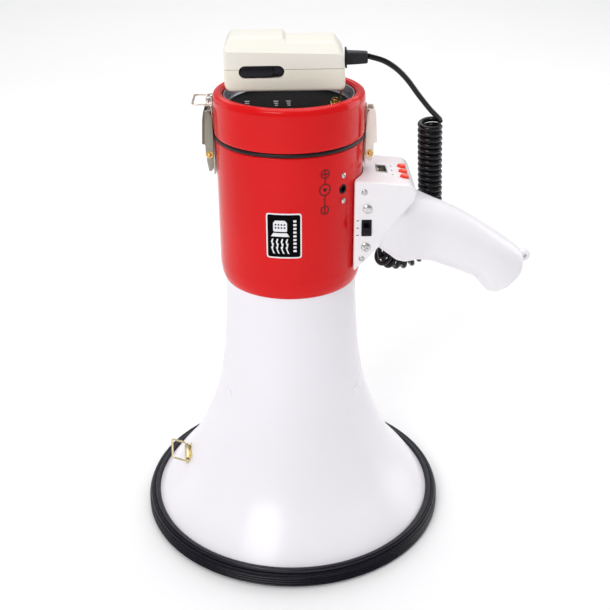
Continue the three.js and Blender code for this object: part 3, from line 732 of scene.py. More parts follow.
def on_wall(angle, z):
    """Maps a flat drawing, u along the wall and v up, on to the body's wall round a place on it."""
    def place(u, v, w):
        turn = angle + u / BODY_R
        rise = z + v - BODY_MIDDLE
        reach = BODY_R + (SLOPE_ABOVE if rise > 0 else SLOPE_BELOW) * rise + w
        return at(reach * math.sin(turn), -reach * math.cos(turn), z + v)
    return place


def screw(name, radius, height, matrix, cross_turn):
    """A domed head with a cross in it; the profile is in shares of the head's radius and height."""
    dome = [(0, 1), (0.35, 0.98), (0.7, 0.82), (0.93, 0.5), (1, 0.18), (1, 0), (0.5, 0)]
    profile = [*[(radius * r, height * h) for r, h in dome], (radius * 0.5, -3.6), (0, -3.6)]
    head = spun(name, profile, matrix, 36)
    for turn in (0, math.pi / 2):
        place = local(matrix @ Matrix.Rotation(turn + cross_turn, 4, "Z"))
        bar = extrude("bar", rectangle(radius * 1.25, radius * 0.26), height * 0.35, height * 2, place)
        boolean(head, bar)
    finish_piece(shade(head, 30), "case", MAT["chrome"], [name])


def make_body():
    profile = rounded([(46.9, 196.6, 0.4), (47.9, 196.3, 0.6), (48.9, 198.4, 2), (49.9, 202.2, 3),
                       (50.5, 208, 3),
                       (50.8, 272, 0), (51.2, 298.9, 0.5), (50.6, 299.5, 0.4), (48.4, 299.5, 0.2),
                       (48.4, 204.6, 0.2),
                       (45.2, 204.6, 0.2), (45.2, 196.9, 0.4)], 1, 4)
    shell = lathe("body", profile, 192)
    for z, radius in ((JACK_Z, JACK_RADIUS + 0.4), *((z, 1.3) for z in JACK_SCREWS.values())):
        hole = spun("hole", [(0, 6), (radius, 6), (radius, -8), (0, -8)], facing(JACK_ANGLE, BODY_R, z), 32)
        boolean(shell, hole)
    finish_piece(shade(shell, 30), "case", MAT["red"], ["body_shell"])
    gasket = lathe("gasket", rounded([(46, 299.8), (51.6, 299.8, 0.8), (51.95, 301.1, 0.8),
                                      (51.6, 302.4, 0.8),
                                      (46, 302.4)], 0.3, 4), 192)
    finish_piece(gasket, "case", MAT["seal"], ["body_gasket"])

    jack = spun("power_jack", rounded([(0, -9, 0), (JACK_RADIUS, -9, 0.3), (JACK_RADIUS, 0.5, 0.3),
                                       (2.1, 0.5, 0.4), (2.1, -7.5, 0),
                                       (0.8, -7.5, 0), (0.8, -1.5, 0.3), (0, -1.5, 0)], 0.2, 3, closed=False),
                facing(JACK_ANGLE, BODY_R, JACK_Z), 40)
    finish_piece(jack, "case", MAT["black"], ["dc_jack"])
    for name, z in JACK_SCREWS.items():
        screw(name, 1.9, 0.9, facing(JACK_ANGLE, BODY_R + 0.5, z), 0.5 if z > JACK_Z else 1.1)


BEND = 1.5  # how wide the strips are into which a print on the wall is cut
INK = (0.02, 0.16)  # from where to where a print stands off its surface
MARK = (0.19, 0.26)
LABEL_ANGLE = -0.087
LABEL_Z = 245.0
LABEL_SIZE = (24.0, 32.5)
LABEL_WAVE = [(0, -2), (0.9, -2), (0.2, -5.2), (1.2, -5.4), (0.4, -9.6), (1.8, -13), (0.6, -12.6),
              (-0.9, -8.2),
              (0.1, -7.4), (-0.8, -4)]
MARK_ANGLE = 0.471


def make_label():
    place = on_wall(LABEL_ANGLE, LABEL_Z)
    wide, tall = LABEL_SIZE
    inside = rectangle(wide - 1.9, tall - 1.9, 1.5)
    border = band("label_border", rectangle(wide, tall, 2.2), inside, 0.02, 0.24, place, BEND)
    finish_piece(border, "case", MAT["print_white"])
    field = patch("label_field", inside, 0.02, 0.2, place, BEND)
    finish_piece(field, "case", MAT["label"])
    box = rounded([(-7.2, 3.2), (2.2, 3.2), (2.2, 9.4), (0.8, 11.2), (-5.8, 11.2), (-7.2, 9.4)], 0.9, 3)
    shapes = [box, [(-8.8, -0.4), (3.8, -0.4), (2.2, 2.2), (-7.2, 2.2)]]
    for k in range(4):
        x = -8.0 + 3.3 * k
        shapes.append([(x + u, v) for u, v in LABEL_WAVE])
    shapes += [rectangle(2.2, 1.5, 0.3, (7.4, -10.8 + 2.7 * k), 2) for k in range(9)]
    marks = [patch("mark", shape, *MARK, place, BEND) for shape in shapes]
    finish_group("label_marks", marks, "case", MAT["print_white"])
    spots = [(-5.5 + 2 * column, 6 + 2.2 * row) for row in range(2) for column in range(4)]
    dots = [patch("dot", rectangle(1.1, 1.1, 0.2, spot, 2), 0.25, 0.3, place, BEND) for spot in spots]
    finish_group("label_dots", dots, "case", MAT["label"])


def make_polarity_mark():
    """The usual drawing of a socket's poles: two circles joined to a ring and its centre."""
    place = on_wall(MARK_ANGLE, JACK_Z)
    line = 0.7
    parts = []
    for v, radius in ((13.9, 3.3), (2.8, 4.3), (-11.6, 3.2)):
        parts.append(band("ring", circle(radius, (0, v)), circle(radius - line, (0, v)), *INK, place, BEND))
    parts.append(patch("dot", circle(1.3, (0, 2.8)), *INK, place, BEND))
    for low, high in ((7.0, 10.7), (-8.5, -1.4)):
        parts.append(patch("bar", [(-0.33, low), (0.33, low), (0.33, high), (-0.33, high)], *INK, place))
    parts.append(patch("bar", rectangle(4.2, line, 0, (0, 13.9)), *INK, place, BEND))
    parts.append(patch("bar", rectangle(line, 4.2, 0, (0, 13.9)), 0.02, 0.17, place))
    parts.append(patch("bar", rectangle(line, 4.2, 0, (0, -11.6)), *INK, place))
    finish_group("polarity_mark", parts, "case", MAT["print_black"])


make_body()
make_label()
make_polarity_mark()


# ---------------------------------------------------------------- rear cap
PANEL_FACE = 322
PANEL_MARKS = [(-28.8, 3.6), (-9, 3.6), (-0.5, 3.6)]
HOOK_SHIFT = 5.0  # how far out the hook stands from the CAD's


def make_cap():
    cap = lathe("cap", rounded([(51.6, 302.8, 0.4), (52, 304.3, 0.6), (52, 327.5, 3), (51.4, 330.6, 2.4),
                                (49.0, 332.1, 2.4),
                                (46.8, 331.9, 1.5), (45.3, 330.3, 1), (45, 328.5, 1), (45, 302.8, 0.3)], 1,
                                6), 192)
    finish_piece(cap, "lid", MAT["red"], ["lid_cap"])
    panel = lathe("cap_panel", rounded([(0, 318, 0), (44.6, 318, 0.3), (44.6, 329.6, 0.3), (43.8, 329.6, 0.4),
                                        (42.4, 323.4, 1), (41.8, 322, 0.4), (0, 322, 0)], 0.4, 4,
                                        closed=False), 160)
    finish_piece(panel, "lid", MAT["panel"], ["lid_panel"])
    face = local(placed(at(0, 0, PANEL_FACE)))
    label = patch("panel_label", circle(41.5, steps=96), 0.02, 0.3, face)
    finish_piece(label, "lid", MAT["label"])
    shapes = [rectangle(3.4 - 0.6 * k, 2.2, 0.4, (x + 0.2 * k, y - 5 * k), 2)
              for x, y in PANEL_MARKS for k in range(3)]
    marks = [patch("mark", shape, 0.28, 0.36, face) for shape in shapes]
    finish_group("panel_marks", marks, "lid", MAT["print_white"])

    strip = rounded([(23, 322.3, 0), (30.6, 322.3, 0.9), (30.6, 335.2, 0.9), (22, 335.2, 0), (22, 334, 0),
                     (29.4, 334, 0.4),
                     (29.4, 323.5, 0.4), (23, 323.5, 0)], 0.4, 4)
    strip = [(x + HOOK_SHIFT, z) for x, z in strip]
    hook = extrude("hook", strip, -8.5, 0.5, in_xz)
    slot = block("slot", (5, 3.2, 5), (23.6 + HOOK_SHIFT, -4, 334.6), 0)
    boolean(hook, slot)
    bevel(hook, 0.25, 2, 40)
    stud = spun("stud", [(0, 3.4), (1.2, 3.3), (2.1, 2.6), (2.4, 1.6), (2.4, 0), (0, 0)],
                placed(at(26 + HOOK_SHIFT, -4, 323.4)), 32)
    finish_group("mic_clip", [hook, stud], "lid", MAT["brass"], ["mic_hook"])


make_cap()


# ---------------------------------------------------------------- toggle latches
LATCH_R = 51.0  # the wall that a latch's own depths are measured from
LATCH_PIVOT = (4.2, 288)


def latch_outline(side, points):
    return [(side * (LATCH_R + p[0]), *p[1:]) for p in points]


def latch_bar(name, side, points, half_width, y=0.0, round_by=0.5, corner=0.8):
    outline = rounded(latch_outline(side, points), corner, 4)
    bar = extrude(name, outline, y - half_width, y + half_width, in_xz)
    return bevel(bar, round_by, 3) if round_by else bar


def latch_turned(name, side, pivot, profile, y, away):
    """A turned piece on a pin along Y; away is +1 where its outer end faces +Y."""
    x = side * (LATCH_R + pivot[0])
    return spun(name, profile, placed(at(x, y, pivot[1]), -away * math.pi / 2, "X"), 36)


def make_latch(word, side, foot, metal):
    lugs = []
    for s in (-1, 1):
        shape = [(0.9, 283), (2.4, foot + 3.1), (4.9, foot + 1.6), (6.3, 283.3), (6.2, 290.4), (0.9, 290.4)]
        lugs.append(latch_bar("lug", side, shape, 0.75, s * 4.4, 0.3, 1.2))
    back = latch_bar("back", side, [(0.4, foot), (1.6, foot), (1.6, 298), (0.4, 298)], 5.2, 0, 0.35, 0.3)
    studs = []
    for z in (foot + 3.2, 295.2):
        matrix = placed(at(side * (LATCH_R + 1.5), 0, z), side * math.pi / 2, "Y")
        studs.append(spun("stud", [(0, 0.9), (0.9, 0.8), (1.5, 0.35), (1.6, 0), (0, 0)], matrix, 24))
    finish_group(f"latch_base_{word}_made", [back, *lugs, *studs], "case", MAT[metal],
                 [f"latch_base_{word}"])

    rivet = []
    for s in (-1, 1):
        rivet.append(latch_turned("head", side, LATCH_PIVOT,
                                  [(0, 1.3), (0.8, 1.15), (1.4, 0.6), (1.5, 0.35), (2.5, 0.3),
                                                              (2.6, 0), (1.2, 0), (1.2, -7.3), (0, -7.3)],
                                                              s * 7.2, s))
    finish_group(f"latch_rivet_{word}", rivet, "case", MAT["brass"], [f"latch_pin_{word}"])

    body = f"latch_{word}"
    cheek = [(1.4, 285.4, 2.0), (1.0, 290, 3), (1.0, 303, 5), (1.8, 316, 1.4), (4.0, 319.2, 1.6),
             (6.6, 319, 1.2),
             (7.8, 311, 5), (8.6, 296.2, 0.8), (6.7, 294.6, 0.8), (6.8, 287, 2.6), (4.3, 283.9, 2.2)]
    cheeks = [latch_bar("cheek", side, cheek, 0.7, s * 6.45, 0.35, 1.0) for s in (-1, 1)]
    finish_group(f"latch_lever_{word}_made", cheeks, body, MAT[metal],
                 [f"latch_lever_{word}"])
    cover = latch_bar(f"latch_cover_{word}", side, [(7.3, 295.4), (9.0, 295.6), (8.2, 312.7, 3),
                                                    (7.2, 319, 0.8),
                                                    (6.4, 318.4)], 7.3, 0, 0.5, 0.5)
    # the zinc latch's cover takes the darker zinc copy, a painted shade; the other latch's cover keeps its
    # own metal
    finish_piece(cover, body, MAT["zinc_painted_shade" if metal == "zinc" else metal])

    strap = latch_bar("strap", side, [(5.3, 292.4), (6.5, 292.4), (6.5, 317.4, 1.2), (3.2, 317.4),
                                      (3.2, 316.2), (5.3, 316.2, 0.6)],
                      4, 0, 0.3, 0.3)
    window = block("window", (8, 4.2, 12), (side * (LATCH_R + 6), 0, 305), 0)
    boolean(strap, window)
    eye = latch_turned("eye", side, (5.9, 292), [(0, 4), (1.2, 3.9), (1.35, 3.5), (1.35, -3.5), (1.2, -3.9),
                                                 (0, -4)], 0, 1)
    finish_group(f"latch_claw_{word}_made", [strap, eye], f"claw_{word}", MAT["chrome"],
                 [f"latch_claw_{word}"])

    keeper = latch_bar("keeper", side, [(1.2, 305.6), (2.4, 305.6), (2.4, 312.6, 0.8), (4.6, 312.6, 0.5),
                                        (4.6, 315.2, 0.8),
                                        (2.4, 315.2, 0.4), (2.4, 320.6, 0.6), (1.2, 320.6)], 5, 0, 0.35, 0.4)
    keepers = [keeper]
    for y in (-3.2, 3.2):
        matrix = placed(at(side * (LATCH_R + 2.3), y, 318), side * math.pi / 2, "Y")
        keepers.append(spun("stud", [(0, 0.8), (0.7, 0.7), (1.2, 0.3), (1.3, 0), (0, 0)], matrix, 24))
    finish_group(f"keeper_{word}_made", keepers, "lid", MAT["pale_chrome"], [f"keeper_{word}"])


make_latch("left", -1, 273, "zinc")
# the right latch is the same zinc hardware as the left, painted pale as a reflection
make_latch("right", 1, 279.5, "zinc_painted_reflection")


# ---------------------------------------------------------------- strap rings
RING_RADIUS = 0.78


def ring_points(place, reach, width, corner):
    """A wire's centreline round a rounded rectangle that hangs from its pivot side."""
    half = width / 2 - RING_RADIUS
    far = reach - RING_RADIUS * 2
    shape = rounded([(0, -half), (far, -half), (far, half), (0, half)], corner, 8)
    out = []
    for a, b in zip(shape, shape[1:] + shape[:1]):
        steps = max(1, int(math.dist(a, b) / 1.2))
        out += [(a[0] + (b[0] - a[0]) * k / steps, a[1] + (b[1] - a[1]) * k / steps) for k in range(steps)]
    return [place(u, v) for u, v in out]


def curled_bracket(name, width, foot_points, place):
    """Sheet metal rolled round the ring's wire, with a foot on the wall."""
    sheet = 1.0
    outer, inner = [], []
    for k in range(25):
        a = math.radians(-60 + 300 * k / 24)
        outer.append((math.cos(a) * (RING_RADIUS + 0.3 + sheet), math.sin(a) * (RING_RADIUS + 0.3 + sheet)))
        inner.append((math.cos(a) * (RING_RADIUS + 0.3), math.sin(a) * (RING_RADIUS + 0.3)))
    roll = extrude(name, [*outer, *reversed(inner)], -width / 2, width / 2, place)
    foot = extrude(name, rounded(foot_points, 0.3, 3), -width / 2, width / 2, place)
    return [bevel(roll, 0.2, 2, 50), bevel(foot, 0.25, 2, 40)]


def make_upper_ring():
    out, z = 54.6, 325.2
    holder = curled_bracket("roll", 6.5, [(1.2, -3.4), (2.5, -3.4), (2.5, 3.4), (1.2, 3.4)],
                            lambda u, v, w: at(-out + u, w, z + v))
    finish_group("strap_plate_upper", holder, "lid", MAT["chrome"], ["strap_bracket_upper"])
    wires = [loop_tube("wire", ring_points(lambda u, v: at(-out - u, v, z), 11.9, 26, 2.6), RING_RADIUS, 16)]
    arm = 13 - RING_RADIUS
    for side in (-1, 1):
        stub = [at(-out + 2.9 * k / 4 - 0.6, side * arm, z) for k in range(5)]
        wires.append(tube("arm", stub, RING_RADIUS, 16))
    finish_group("ring_upper_wire", wires, "ring_upper", MAT["pale_chrome"], ["strap_ring_upper"])


LOWER_TURN = 0.12
LOWER_PIVOT = (83.4, 43.6)
LOWER_TILT = 0.42
LOWER_LEAN = 50  # the bell's slope under the lower bracket, in degrees


def make_lower_ring():
    turn = about_bell(LOWER_TURN)
    out, z = LOWER_PIVOT
    lean = math.radians(LOWER_LEAN)

    def on_horn(u, v, w):
        """u down the bell's wall from the pivot, v out from it."""
        return turn @ at(-out - u * math.cos(lean) - v * math.sin(lean), w,
                         z - u * math.sin(lean) + v * math.cos(lean))

    holder = curled_bracket("roll", 18.4, [(-4.2, -2.5), (4.2, -2.5), (4.2, -1.2), (-4.2, -1.2)], on_horn)
    rivets = []
    for w in (-5.4, 5.4):
        tilt = Matrix.Rotation(LOWER_TURN, 4, "Z") @ Matrix.Rotation(-lean, 4, "Y")
        matrix = Matrix.Translation(on_horn(3.0, -1.3, w)) @ tilt @ Matrix.Scale(MM, 4)
        rivets.append(spun("rivet", [(0, 1), (0.8, 0.9), (1.4, 0.5), (1.6, 0), (0, 0)], matrix, 24))
    finish_group("strap_plate_lower", [*holder, *rivets], "case", MAT["pale_brass"],
                 ["strap_bracket_lower"])

    def ring_place(u, v):
        return turn @ at(-out - u * math.cos(LOWER_TILT), v, z + u * math.sin(LOWER_TILT))

    ring = loop_tube("ring_lower_wire", ring_points(ring_place, 14, 26, 2.2), RING_RADIUS, 16)
    finish_piece(ring, "ring_lower", MAT["pale_brass"], ["strap_ring_lower"])


make_upper_ring()
make_lower_ring()


# ---------------------------------------------------------------- handle
BLOCK_HALF = 30.5
GRIP_SLOPE = 0.422
GRIP_CENTRE = (107.5, 226.5)
TOP_TILT = 0.1
TOP_POINT = (81, 272.3)
EYE = (169.6, 207)
USB_PLACE = (64, 0.5)
BUTTONS = [(78.7, 8), (78.7, -2.7), (78.7, -13.4)]
BASE_OUTLINE = [(43.6, 276, 1), (82, 272.2, 3), (86, 268.5, 3), (85.5, 262, 6), (64, 236, 5), (62, 228, 4),
                (43.6, 208.2, 1)]
# along the grip, top and underside from its line, half width, and roundness: 1 an ellipse, 0 a rectangle
GRIP_SECTIONS = [
    (-48, 14, -20, 30.2, 0.42), (-40, 17.5, -23, 29.6, 0.46), (-30, 18.5, -27, 26.5, 0.6), (-22, 19.5, -30.5,
                                                                                            23.2, 0.72),
    (-15, 20, -30.5, 20.5, 0.82), (-6, 20.6, -25, 18.4, 0.9), (5, 20.5, -22.2, 17.5, 0.9), (20, 19, -21.3,
                                                                                            17.5, 0.9),
    (38, 15.8, -20.6, 17.5, 0.9), (46, 14.2, -24.5, 17.3, 0.9), (52, 13, -27.5, 16.8, 0.9), (60, 11, -27.5,
                                                                                             15.5, 0.9),
    (68, 8.6, -27.5, 13.5, 0.9)]
GRIP_END = [(50, 280), (150, 280), (163, 215.5, 4), (168, 209, 3), (167.5, 203, 3), (164.7, 196, 6),
            (157, 187.5, 6),
            (150, 182, 3), (144.5, 181.5, 2), (130, 170), (50, 170)]


def on_top(x, y):
    """The base's sloping upper face: local X and Y lie in it, and local units are millimetres."""
    surface = TOP_POINT[1] + (TOP_POINT[0] - x) * math.tan(TOP_TILT)
    return placed(at(x, y, surface), TOP_TILT, "Y")


def grip_ring(along, top, bottom, half, roundness, steps=64):
    """A rounded cross-section of the grip, square to the grip's own line."""
    out = []
    for k in range(steps):
        a = 2 * math.pi * (k + 0.5) / steps
        lift = math.copysign(abs(math.sin(a)) ** roundness, math.sin(a))
        up = (top + bottom) / 2 + (top - bottom) / 2 * lift
        x = GRIP_CENTRE[0] + along * math.cos(GRIP_SLOPE) + up * math.sin(GRIP_SLOPE)
        z = GRIP_CENTRE[1] - along * math.sin(GRIP_SLOPE) + up * math.cos(GRIP_SLOPE)
        out.append(at(x, half * math.copysign(abs(math.cos(a)) ** roundness, math.cos(a)), z))
    return out


def handle_solid():
    base = bevel(extrude("base", rounded(BASE_OUTLINE, 2, 6), -BLOCK_HALF, BLOCK_HALF, in_xz), 1.8, 4)
    sections = np.array(GRIP_SECTIONS, float)
    fine = np.arange(sections[0, 0], sections[-1, 0] + 0.5, 1.0)
    columns = [np.interp(fine, sections[:, 0], sections[:, k]) for k in (1, 2, 3, 4)]
    weights = np.array([1, 2, 3, 2, 1]) / 9
    columns = [np.convolve(np.pad(column, 2, mode="edge"), weights, "valid") for column in columns]
    grip = loft("grip", [grip_ring(*section) for section in zip(fine, *columns)])
    end = bevel(extrude("end", rounded(GRIP_END, 0, 5), -40, 40, in_xz), 1, 2)
    boolean(grip, end, "INTERSECT")
    eye = extrude("eye", circle(4.6, EYE, 32), -3, 3, in_xz)
    bevel(eye, 0.9, 3)
    for part in (grip, eye):
        boolean(base, part, "UNION")
    return base


def soften(obj, voxel, rounds):
    remesh = obj.modifiers.new("remesh", "REMESH")
    remesh.mode = "VOXEL"
    remesh.voxel_size = voxel * MM
    smooth = obj.modifiers.new("smooth", "SMOOTH")
    smooth.factor = 0.5
    smooth.iterations = rounds
    apply_modifiers(obj)
    return shade(obj, 60)


FRONT_SCREWS = {
    "switch_screw_upper": (52.8, 255.9, 3.2, 0),
    "switch_screw_lower": (52.1, 227.6, 3.2, 0),
    "shell_screw_upper": (50.6, 268, 1.7, 1.5),
    "shell_screw_lower": (49.6, 218.6, 1.7, 1.5),
}
SWITCH_PLACE = (52.3, 241.9)
SWITCH_SIZE = (6.6, 11.8)
GLAND_PLACE = (53, 20, 218.3)
GLAND_ANGLE = 2.32


def front(x, z, lift=0.0):
    """Faces -Y on the handle's front side: local X along +X, local Y up, local Z out of the face."""
    return placed(at(x, -BLOCK_HALF - lift, z), math.pi / 2, "X")


def button_outline(grow):
    half = 2.5 + grow
    return [(3 + grow, -half), (3 + grow, half), (-0.8, half), (-3 - grow, 0), (-0.8, -half)]


def handle_cutters():
    yield lathe("cut", [(0, 185), (BODY_R + 0.6, 185), (BODY_R + 0.6, 295), (0, 295)], 192)
    yield extrude("cut", circle(1.7, EYE, 28), -8, 8, in_xz)
    yield extrude("cut", rectangle(8, 16, 1.0), -5.5, 4, local(on_top(*USB_PLACE)))
    for place in BUTTONS:
        yield extrude("cut", rounded(button_outline(0.35), 0.5, 3), -4.4, 4, local(on_top(*place)))
    yield extrude("cut", rectangle(SWITCH_SIZE[0] + 0.5, SWITCH_SIZE[1] + 0.5, 0.5), -6.2, 3,
                  local(front(*SWITCH_PLACE)))
    for x, z, radius, sunk in FRONT_SCREWS.values():
        hole, low = (circle(radius + 0.6, steps=32), -sunk - 0.1) if sunk else (circle(radius + 0.5,
                                                                                       steps=36), -0.35)
        yield extrude("cut", hole, low, 3, local(front(x, z)))


def make_handle():
    solid = soften(handle_solid(), 0.8, 14)
    for cutter in handle_cutters():
        boolean(solid, cutter)
    for word, side in (("front", -1), ("rear", 1)):
        half = linked(f"handle_{word}", solid.data.copy())
        keep = block("keep", (200, 100, 200), (120, side * 50.12, 240), 0)
        boolean(half, keep, "INTERSECT")
        finish_piece(shade(half, 38), "case", MAT["handle"], [f"handle_{word}_shell"])
    bpy.data.objects.remove(solid)
    dots = [patch("dot", circle(0.55, (x, y), 16), 0.01, 0.12, local(on_top(70.9, 0)))
            for x, y in ((0.4, 7.2), (0.3, -1.6), (0.2, -10.4))]
    finish_group("button_marks", dots, "case", MAT["black"])
    ticks = [patch("tick", rectangle(1.7, 0.55, 0.2, (-6.1, v), 2), 0.01, 0.1, local(front(*SWITCH_PLACE)))
             for v in (5.4, 0, -5.4)]
    finish_group("switch_marks", ticks, "case", MAT["label"])


def make_front_controls():
    for turn, (name, (x, z, radius, sunk)) in enumerate(FRONT_SCREWS.items()):
        lift = -sunk + 0.1 if sunk else -0.25
        screw(name, radius, radius * 0.45, front(x, z, lift), 0.5 + 0.55 * turn)
    x, z = SWITCH_PLACE
    place = local(front(x, z))
    bezel = band("switch_bezel", rectangle(*SWITCH_SIZE, 0.5), rectangle(3.6, 9.0, 0.3), -5.2, 0.45, place)
    floor = extrude("switch_floor", rectangle(3.8, 9.2), -5.2, -3.4, place)
    bevel(bezel, 0.18, 2, 40)
    finish_group("switch_frame_made", [bezel, floor], "case", MAT["black"], ["switch_frame"])
    knob = extrude("switch_cap", rectangle(4.8, 4.7, 0.5, (0, -1.2)), 0.62, 2.9, place)
    bevel(knob, 0.5, 3, 40)
    ribs = [extrude("rib", rectangle(4.4, 0.45, 0, (0, -2.6 + 1.0 * k)), 2.7, 3.15, place) for k in range(4)]
    stem = extrude("stem", rectangle(2.4, 3.0, 0.2), -3, 1, place)
    finish_group("switch_knob_made", [knob, stem, *ribs], "mode_switch", MAT["gloss_black"],
                 ["mode_switch_knob"])


def make_top_controls():
    place = local(on_top(*USB_PLACE))
    shell = band("usb_shell", rectangle(7.4, 15.4, 0.9), rectangle(6.2, 14.2, 0.5), -5, 0.35, place)
    bevel(shell, 0.15, 2, 40)
    floor = extrude("usb_floor", rectangle(6.4, 14.4), -5, -4.2, place)
    finish_group("usb_socket_made", [shell, floor], "case", MAT["chrome"], ["usb_socket"])
    tongue = extrude("usb_tongue", rectangle(2.0, 11.2, 0.3, (0.9, 0)), -4.3, -0.5, place)
    finish_piece(bevel(tongue, 0.2, 2, 40), "case", MAT["black"])
    prongs = [rectangle(0.3, 1.3, 0, (-0.15, -3.6 + 2.4 * k)) for k in range(4)]
    contacts = [extrude("contact", prong, -4.2, -0.9, place) for prong in prongs]
    finish_group("usb_contacts", contacts, "case", MAT["brass"])
    for i, spot in enumerate(BUTTONS, 1):
        cap = extrude(f"button_cap_{i}", rounded(button_outline(0), 0.5, 3), -2.9, 1.7, local(on_top(*spot)))
        bevel(cap, 0.5, 3, 40)
        finish_piece(cap, f"push_button_{i}", MAT["orange"], [f"button_{i}"])


def make_gland():
    matrix = placed(at(*GLAND_PLACE), GLAND_ANGLE, "Y")
    profile = [(0, -3.6), (3.5, -3.6), (3.5, 0.3), (5.8, 0.3), (6, 0.6), (6, 1.4), (5.7, 1.8), (4.7, 2.1)]
    for k in range(4):
        low = 2.8 + 2.6 * k
        r = 4.5 - 0.36 * k
        profile += [(r, low), (r - 0.1, low + 1.5), (r - 0.75, low + 1.7), (r - 0.8, low + 2.3)]
    profile += [(2.9, 13.2), (2.6, 13.8), (0, 13.8)]
    finish_piece(shade(spun("strain_relief", profile, matrix, 48), 30), "case", MAT["seal"],
                 ["cord_gland"])


make_handle()
make_front_controls()
make_top_controls()
make_gland()


# ---------------------------------------------------------------- fist microphone
MIC_BASE = (-2.5, -3, 335.8)
MIC_TILT = 0.004
MIC_HALF_Y = 19.0
MIC_PARTING = 14.8
MIC_SLOT = (-15.2, 13.2)
mic_frame = placed(at(*MIC_BASE), -MIC_TILT, "Y")


def in_mic(u, v, w):
    """Outline in the microphone's X and Z, width along its Y."""
    return mic_frame @ Vector((u, w, v))


MIC_OUTLINE = [(-39.8, 0, 6), (39.4, 0, 6), (39.5, 8, 8), (38.6, 23, 4), (33.5, 30.8, 5), (0.8, 30.8, 1.6),
               (-1.6, 33.8, 2.2), (-36.6, 33.8, 5), (-39.6, 28, 5)]
MIC_EDGE = [(0, 2.2), (0.2, 1.4), (0.7, 0.7), (1.4, 0.2),
            (2.4, 0)]  # rounding: (in from the face, in from the side)


def mic_ring(y, inset):
    """The case's side view at one width, cut off along the top by the sloping front chamfer."""
    middle, half_x, half_z = 16.5, 39.5, 16.5
    ring = []
    for x, z in rounded(MIC_OUTLINE, 4, 7):
        roof = 25.4 - 0.03 * x + 0.8 * (y + MIC_HALF_Y)
        ring.append(in_mic(x * (1 - inset / half_x), min(middle + (z - middle) * (1 - inset / half_z), roof),
                           y))
    return ring


def mic_shell(name, low, high):
    stations = [(-MIC_HALF_Y + into, inset) for into, inset in MIC_EDGE]
    stations += [(y, 0) for y in np.arange(-15.6, -6, 0.8)]
    stations += [(MIC_HALF_Y - into, inset) for into, inset in reversed(MIC_EDGE)]
    shell = loft(name, [mic_ring(*station) for station in stations])
    slot = extrude("slot", stadium(29.8, 8.2, MIC_SLOT, 14), -MIC_HALF_Y - 4, -MIC_HALF_Y + 4.1, in_mic)
    boolean(shell, slot)
    keep = extrude("keep", rectangle(120, high - low, 0, (0, (low + high) / 2)), -40, 40, in_mic)
    boolean(shell, keep, "INTERSECT")
    return shell


def make_microphone():
    lower = mic_shell("mic_lower", -10, MIC_PARTING - 0.16)
    finish_piece(shade(lower, 32), "mic", MAT["ivory_low"], ["mic_lower_case"])
    upper = mic_shell("mic_upper", MIC_PARTING + 0.16, 60)
    finish_piece(shade(upper, 32), "mic", MAT["ivory"], ["mic_upper_case"])

    slider = extrude("talk_slide_plate", rectangle(34.5, 10.4, 0.6, (MIC_SLOT[0] - 1.4, MIC_SLOT[1])), -15.9,
                     -15.0, in_mic)
    finish_piece(bevel(slider, 0.2, 2), "talk_carriage", MAT["gloss_black"], ["talk_slider"])
    bar = extrude("talk_bar_made", stadium(22.6, 7.2, (MIC_SLOT[0] - 3, MIC_SLOT[1]), 12), -19.3, -17.4,
                  in_mic)
    bevel(bar, 0.7, 4, 40)
    finish_piece(bar, "talk_key", MAT["gloss_black"], ["talk_bar"])

    flange = extrude("flange", rectangle(10.6, 12.4, 1.2, (0, 17.6)), 39.95, 41.2,
                     lambda u, v, w: mic_frame @ Vector((w, u, v)))
    bevel(flange, 0.35, 3, 40)
    barrel = plate_loft([(8.4, 8.6, 41.0), (8.2, 8.4, 44), (7.7, 7.9, 50), (7.2, 7.4, 54.4),
                         (6.2, 6.4, 55.1)])
    finish_group("mic_boot_made", [flange, barrel], "mic", MAT["boot"], ["mic_boot"])


def plate_loft(sections):
    """A rounded block lofted along the microphone's X through sections of (width, height, x)."""
    rings = []
    for wide, tall, x in sections:
        rings.append([mic_frame @ Vector((x, u, v)) for u, v in rectangle(wide, tall, 1.4, (0, 17.6))])
    return loft("barrel", rings)


make_microphone()


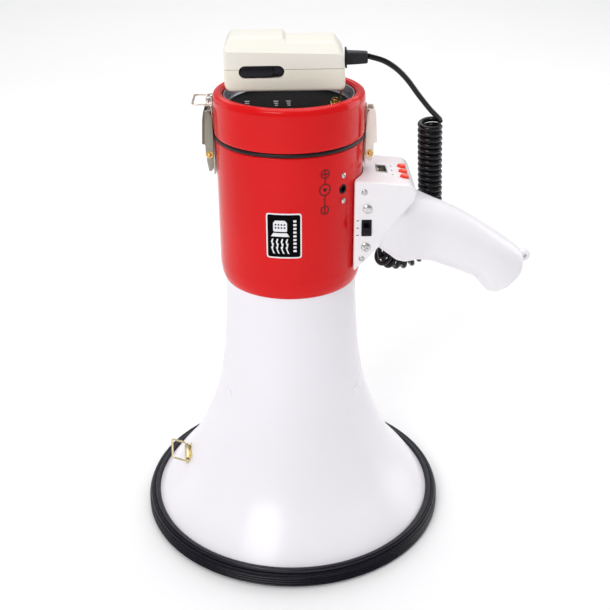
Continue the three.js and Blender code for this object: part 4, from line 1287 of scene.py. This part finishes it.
# ---------------------------------------------------------------- CAD nodes that stay
KEPT = {
    "driver_plate": "zinc",
    "driver_diaphragm": "panel",
    "driver_magnet": "magnet",
    "amplifier_board": "board",
    "battery_holder": "black", "control_board": "board", "mic_capsule": "black",
    **{f"battery_cell_{i}": "cell" for i in range(1, 7)},
}
for node, material in KEPT.items():
    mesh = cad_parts[node].data
    mesh.materials.clear()
    mesh.materials.append(MAT[material])


# ---------------------------------------------------------------- floor and light
FLOOR_COLOUR = (0.93, 0.93, 0.94, 1)
FLOOR_SIZE = 6.0
FLOOR_GAP = 0.0002
SKY_STRENGTH = 0.38
LIGHTS = {  # where it stands, where it points, its size and its power
    "key": ((-0.8, -1.5, 1.3), (0, 0, 0.2), (0.9, 0.9), 17.5),
    "top": ((0.1, 0.3, 2.0), (0, 0, 0.2), (1.5, 1.5), 16),
    "right_edge": ((1.3, 0.5, 0.5), (0, 0, 0.25), (0.8, 1.0), 5),
    "left_edge": ((-1.3, 0.6, 0.5), (0, 0, 0.25), (0.8, 1.0), 1.5),
    "backdrop": ((0, 2.2, 1.9), (0, 2.0, 0), (3.4, 1.8), 31),
}


def make_stage():
    low = min(v[2] for v in cad_box) - FLOOR_GAP
    corners = [(x, y, low) for x, y in rectangle(FLOOR_SIZE, FLOOR_SIZE)]
    floor = new_object("floor", corners, [[0, 1, 2, 3]], smooth=False)
    floor.data.materials.append(plain("floor_white", FLOOR_COLOUR, 0.6, vary=0.004, patches=3, grain=60))

    world = bpy.data.worlds.new("studio")
    world.use_nodes = True
    sky = world.node_tree.nodes["Background"]
    sky.inputs["Color"].default_value = (1, 1, 1, 1)
    sky.inputs["Strength"].default_value = SKY_STRENGTH
    bpy.context.scene.world = world
    bpy.context.scene.view_settings.view_transform = "Standard"


def soft_light(name, place, target, size, power):
    data = bpy.data.lights.new(name, "AREA")
    data.shape = "RECTANGLE"
    data.size, data.size_y = size
    data.energy = power
    light = bpy.data.objects.new(name, data)
    light.location = place
    light.rotation_euler = (Vector(target) - Vector(place)).to_track_quat("-Z", "Y").to_euler()
    light.visible_camera = False
    bpy.context.scene.collection.objects.link(light)


make_stage()
for lamp, settings in LIGHTS.items():
    soft_light(lamp, *settings)
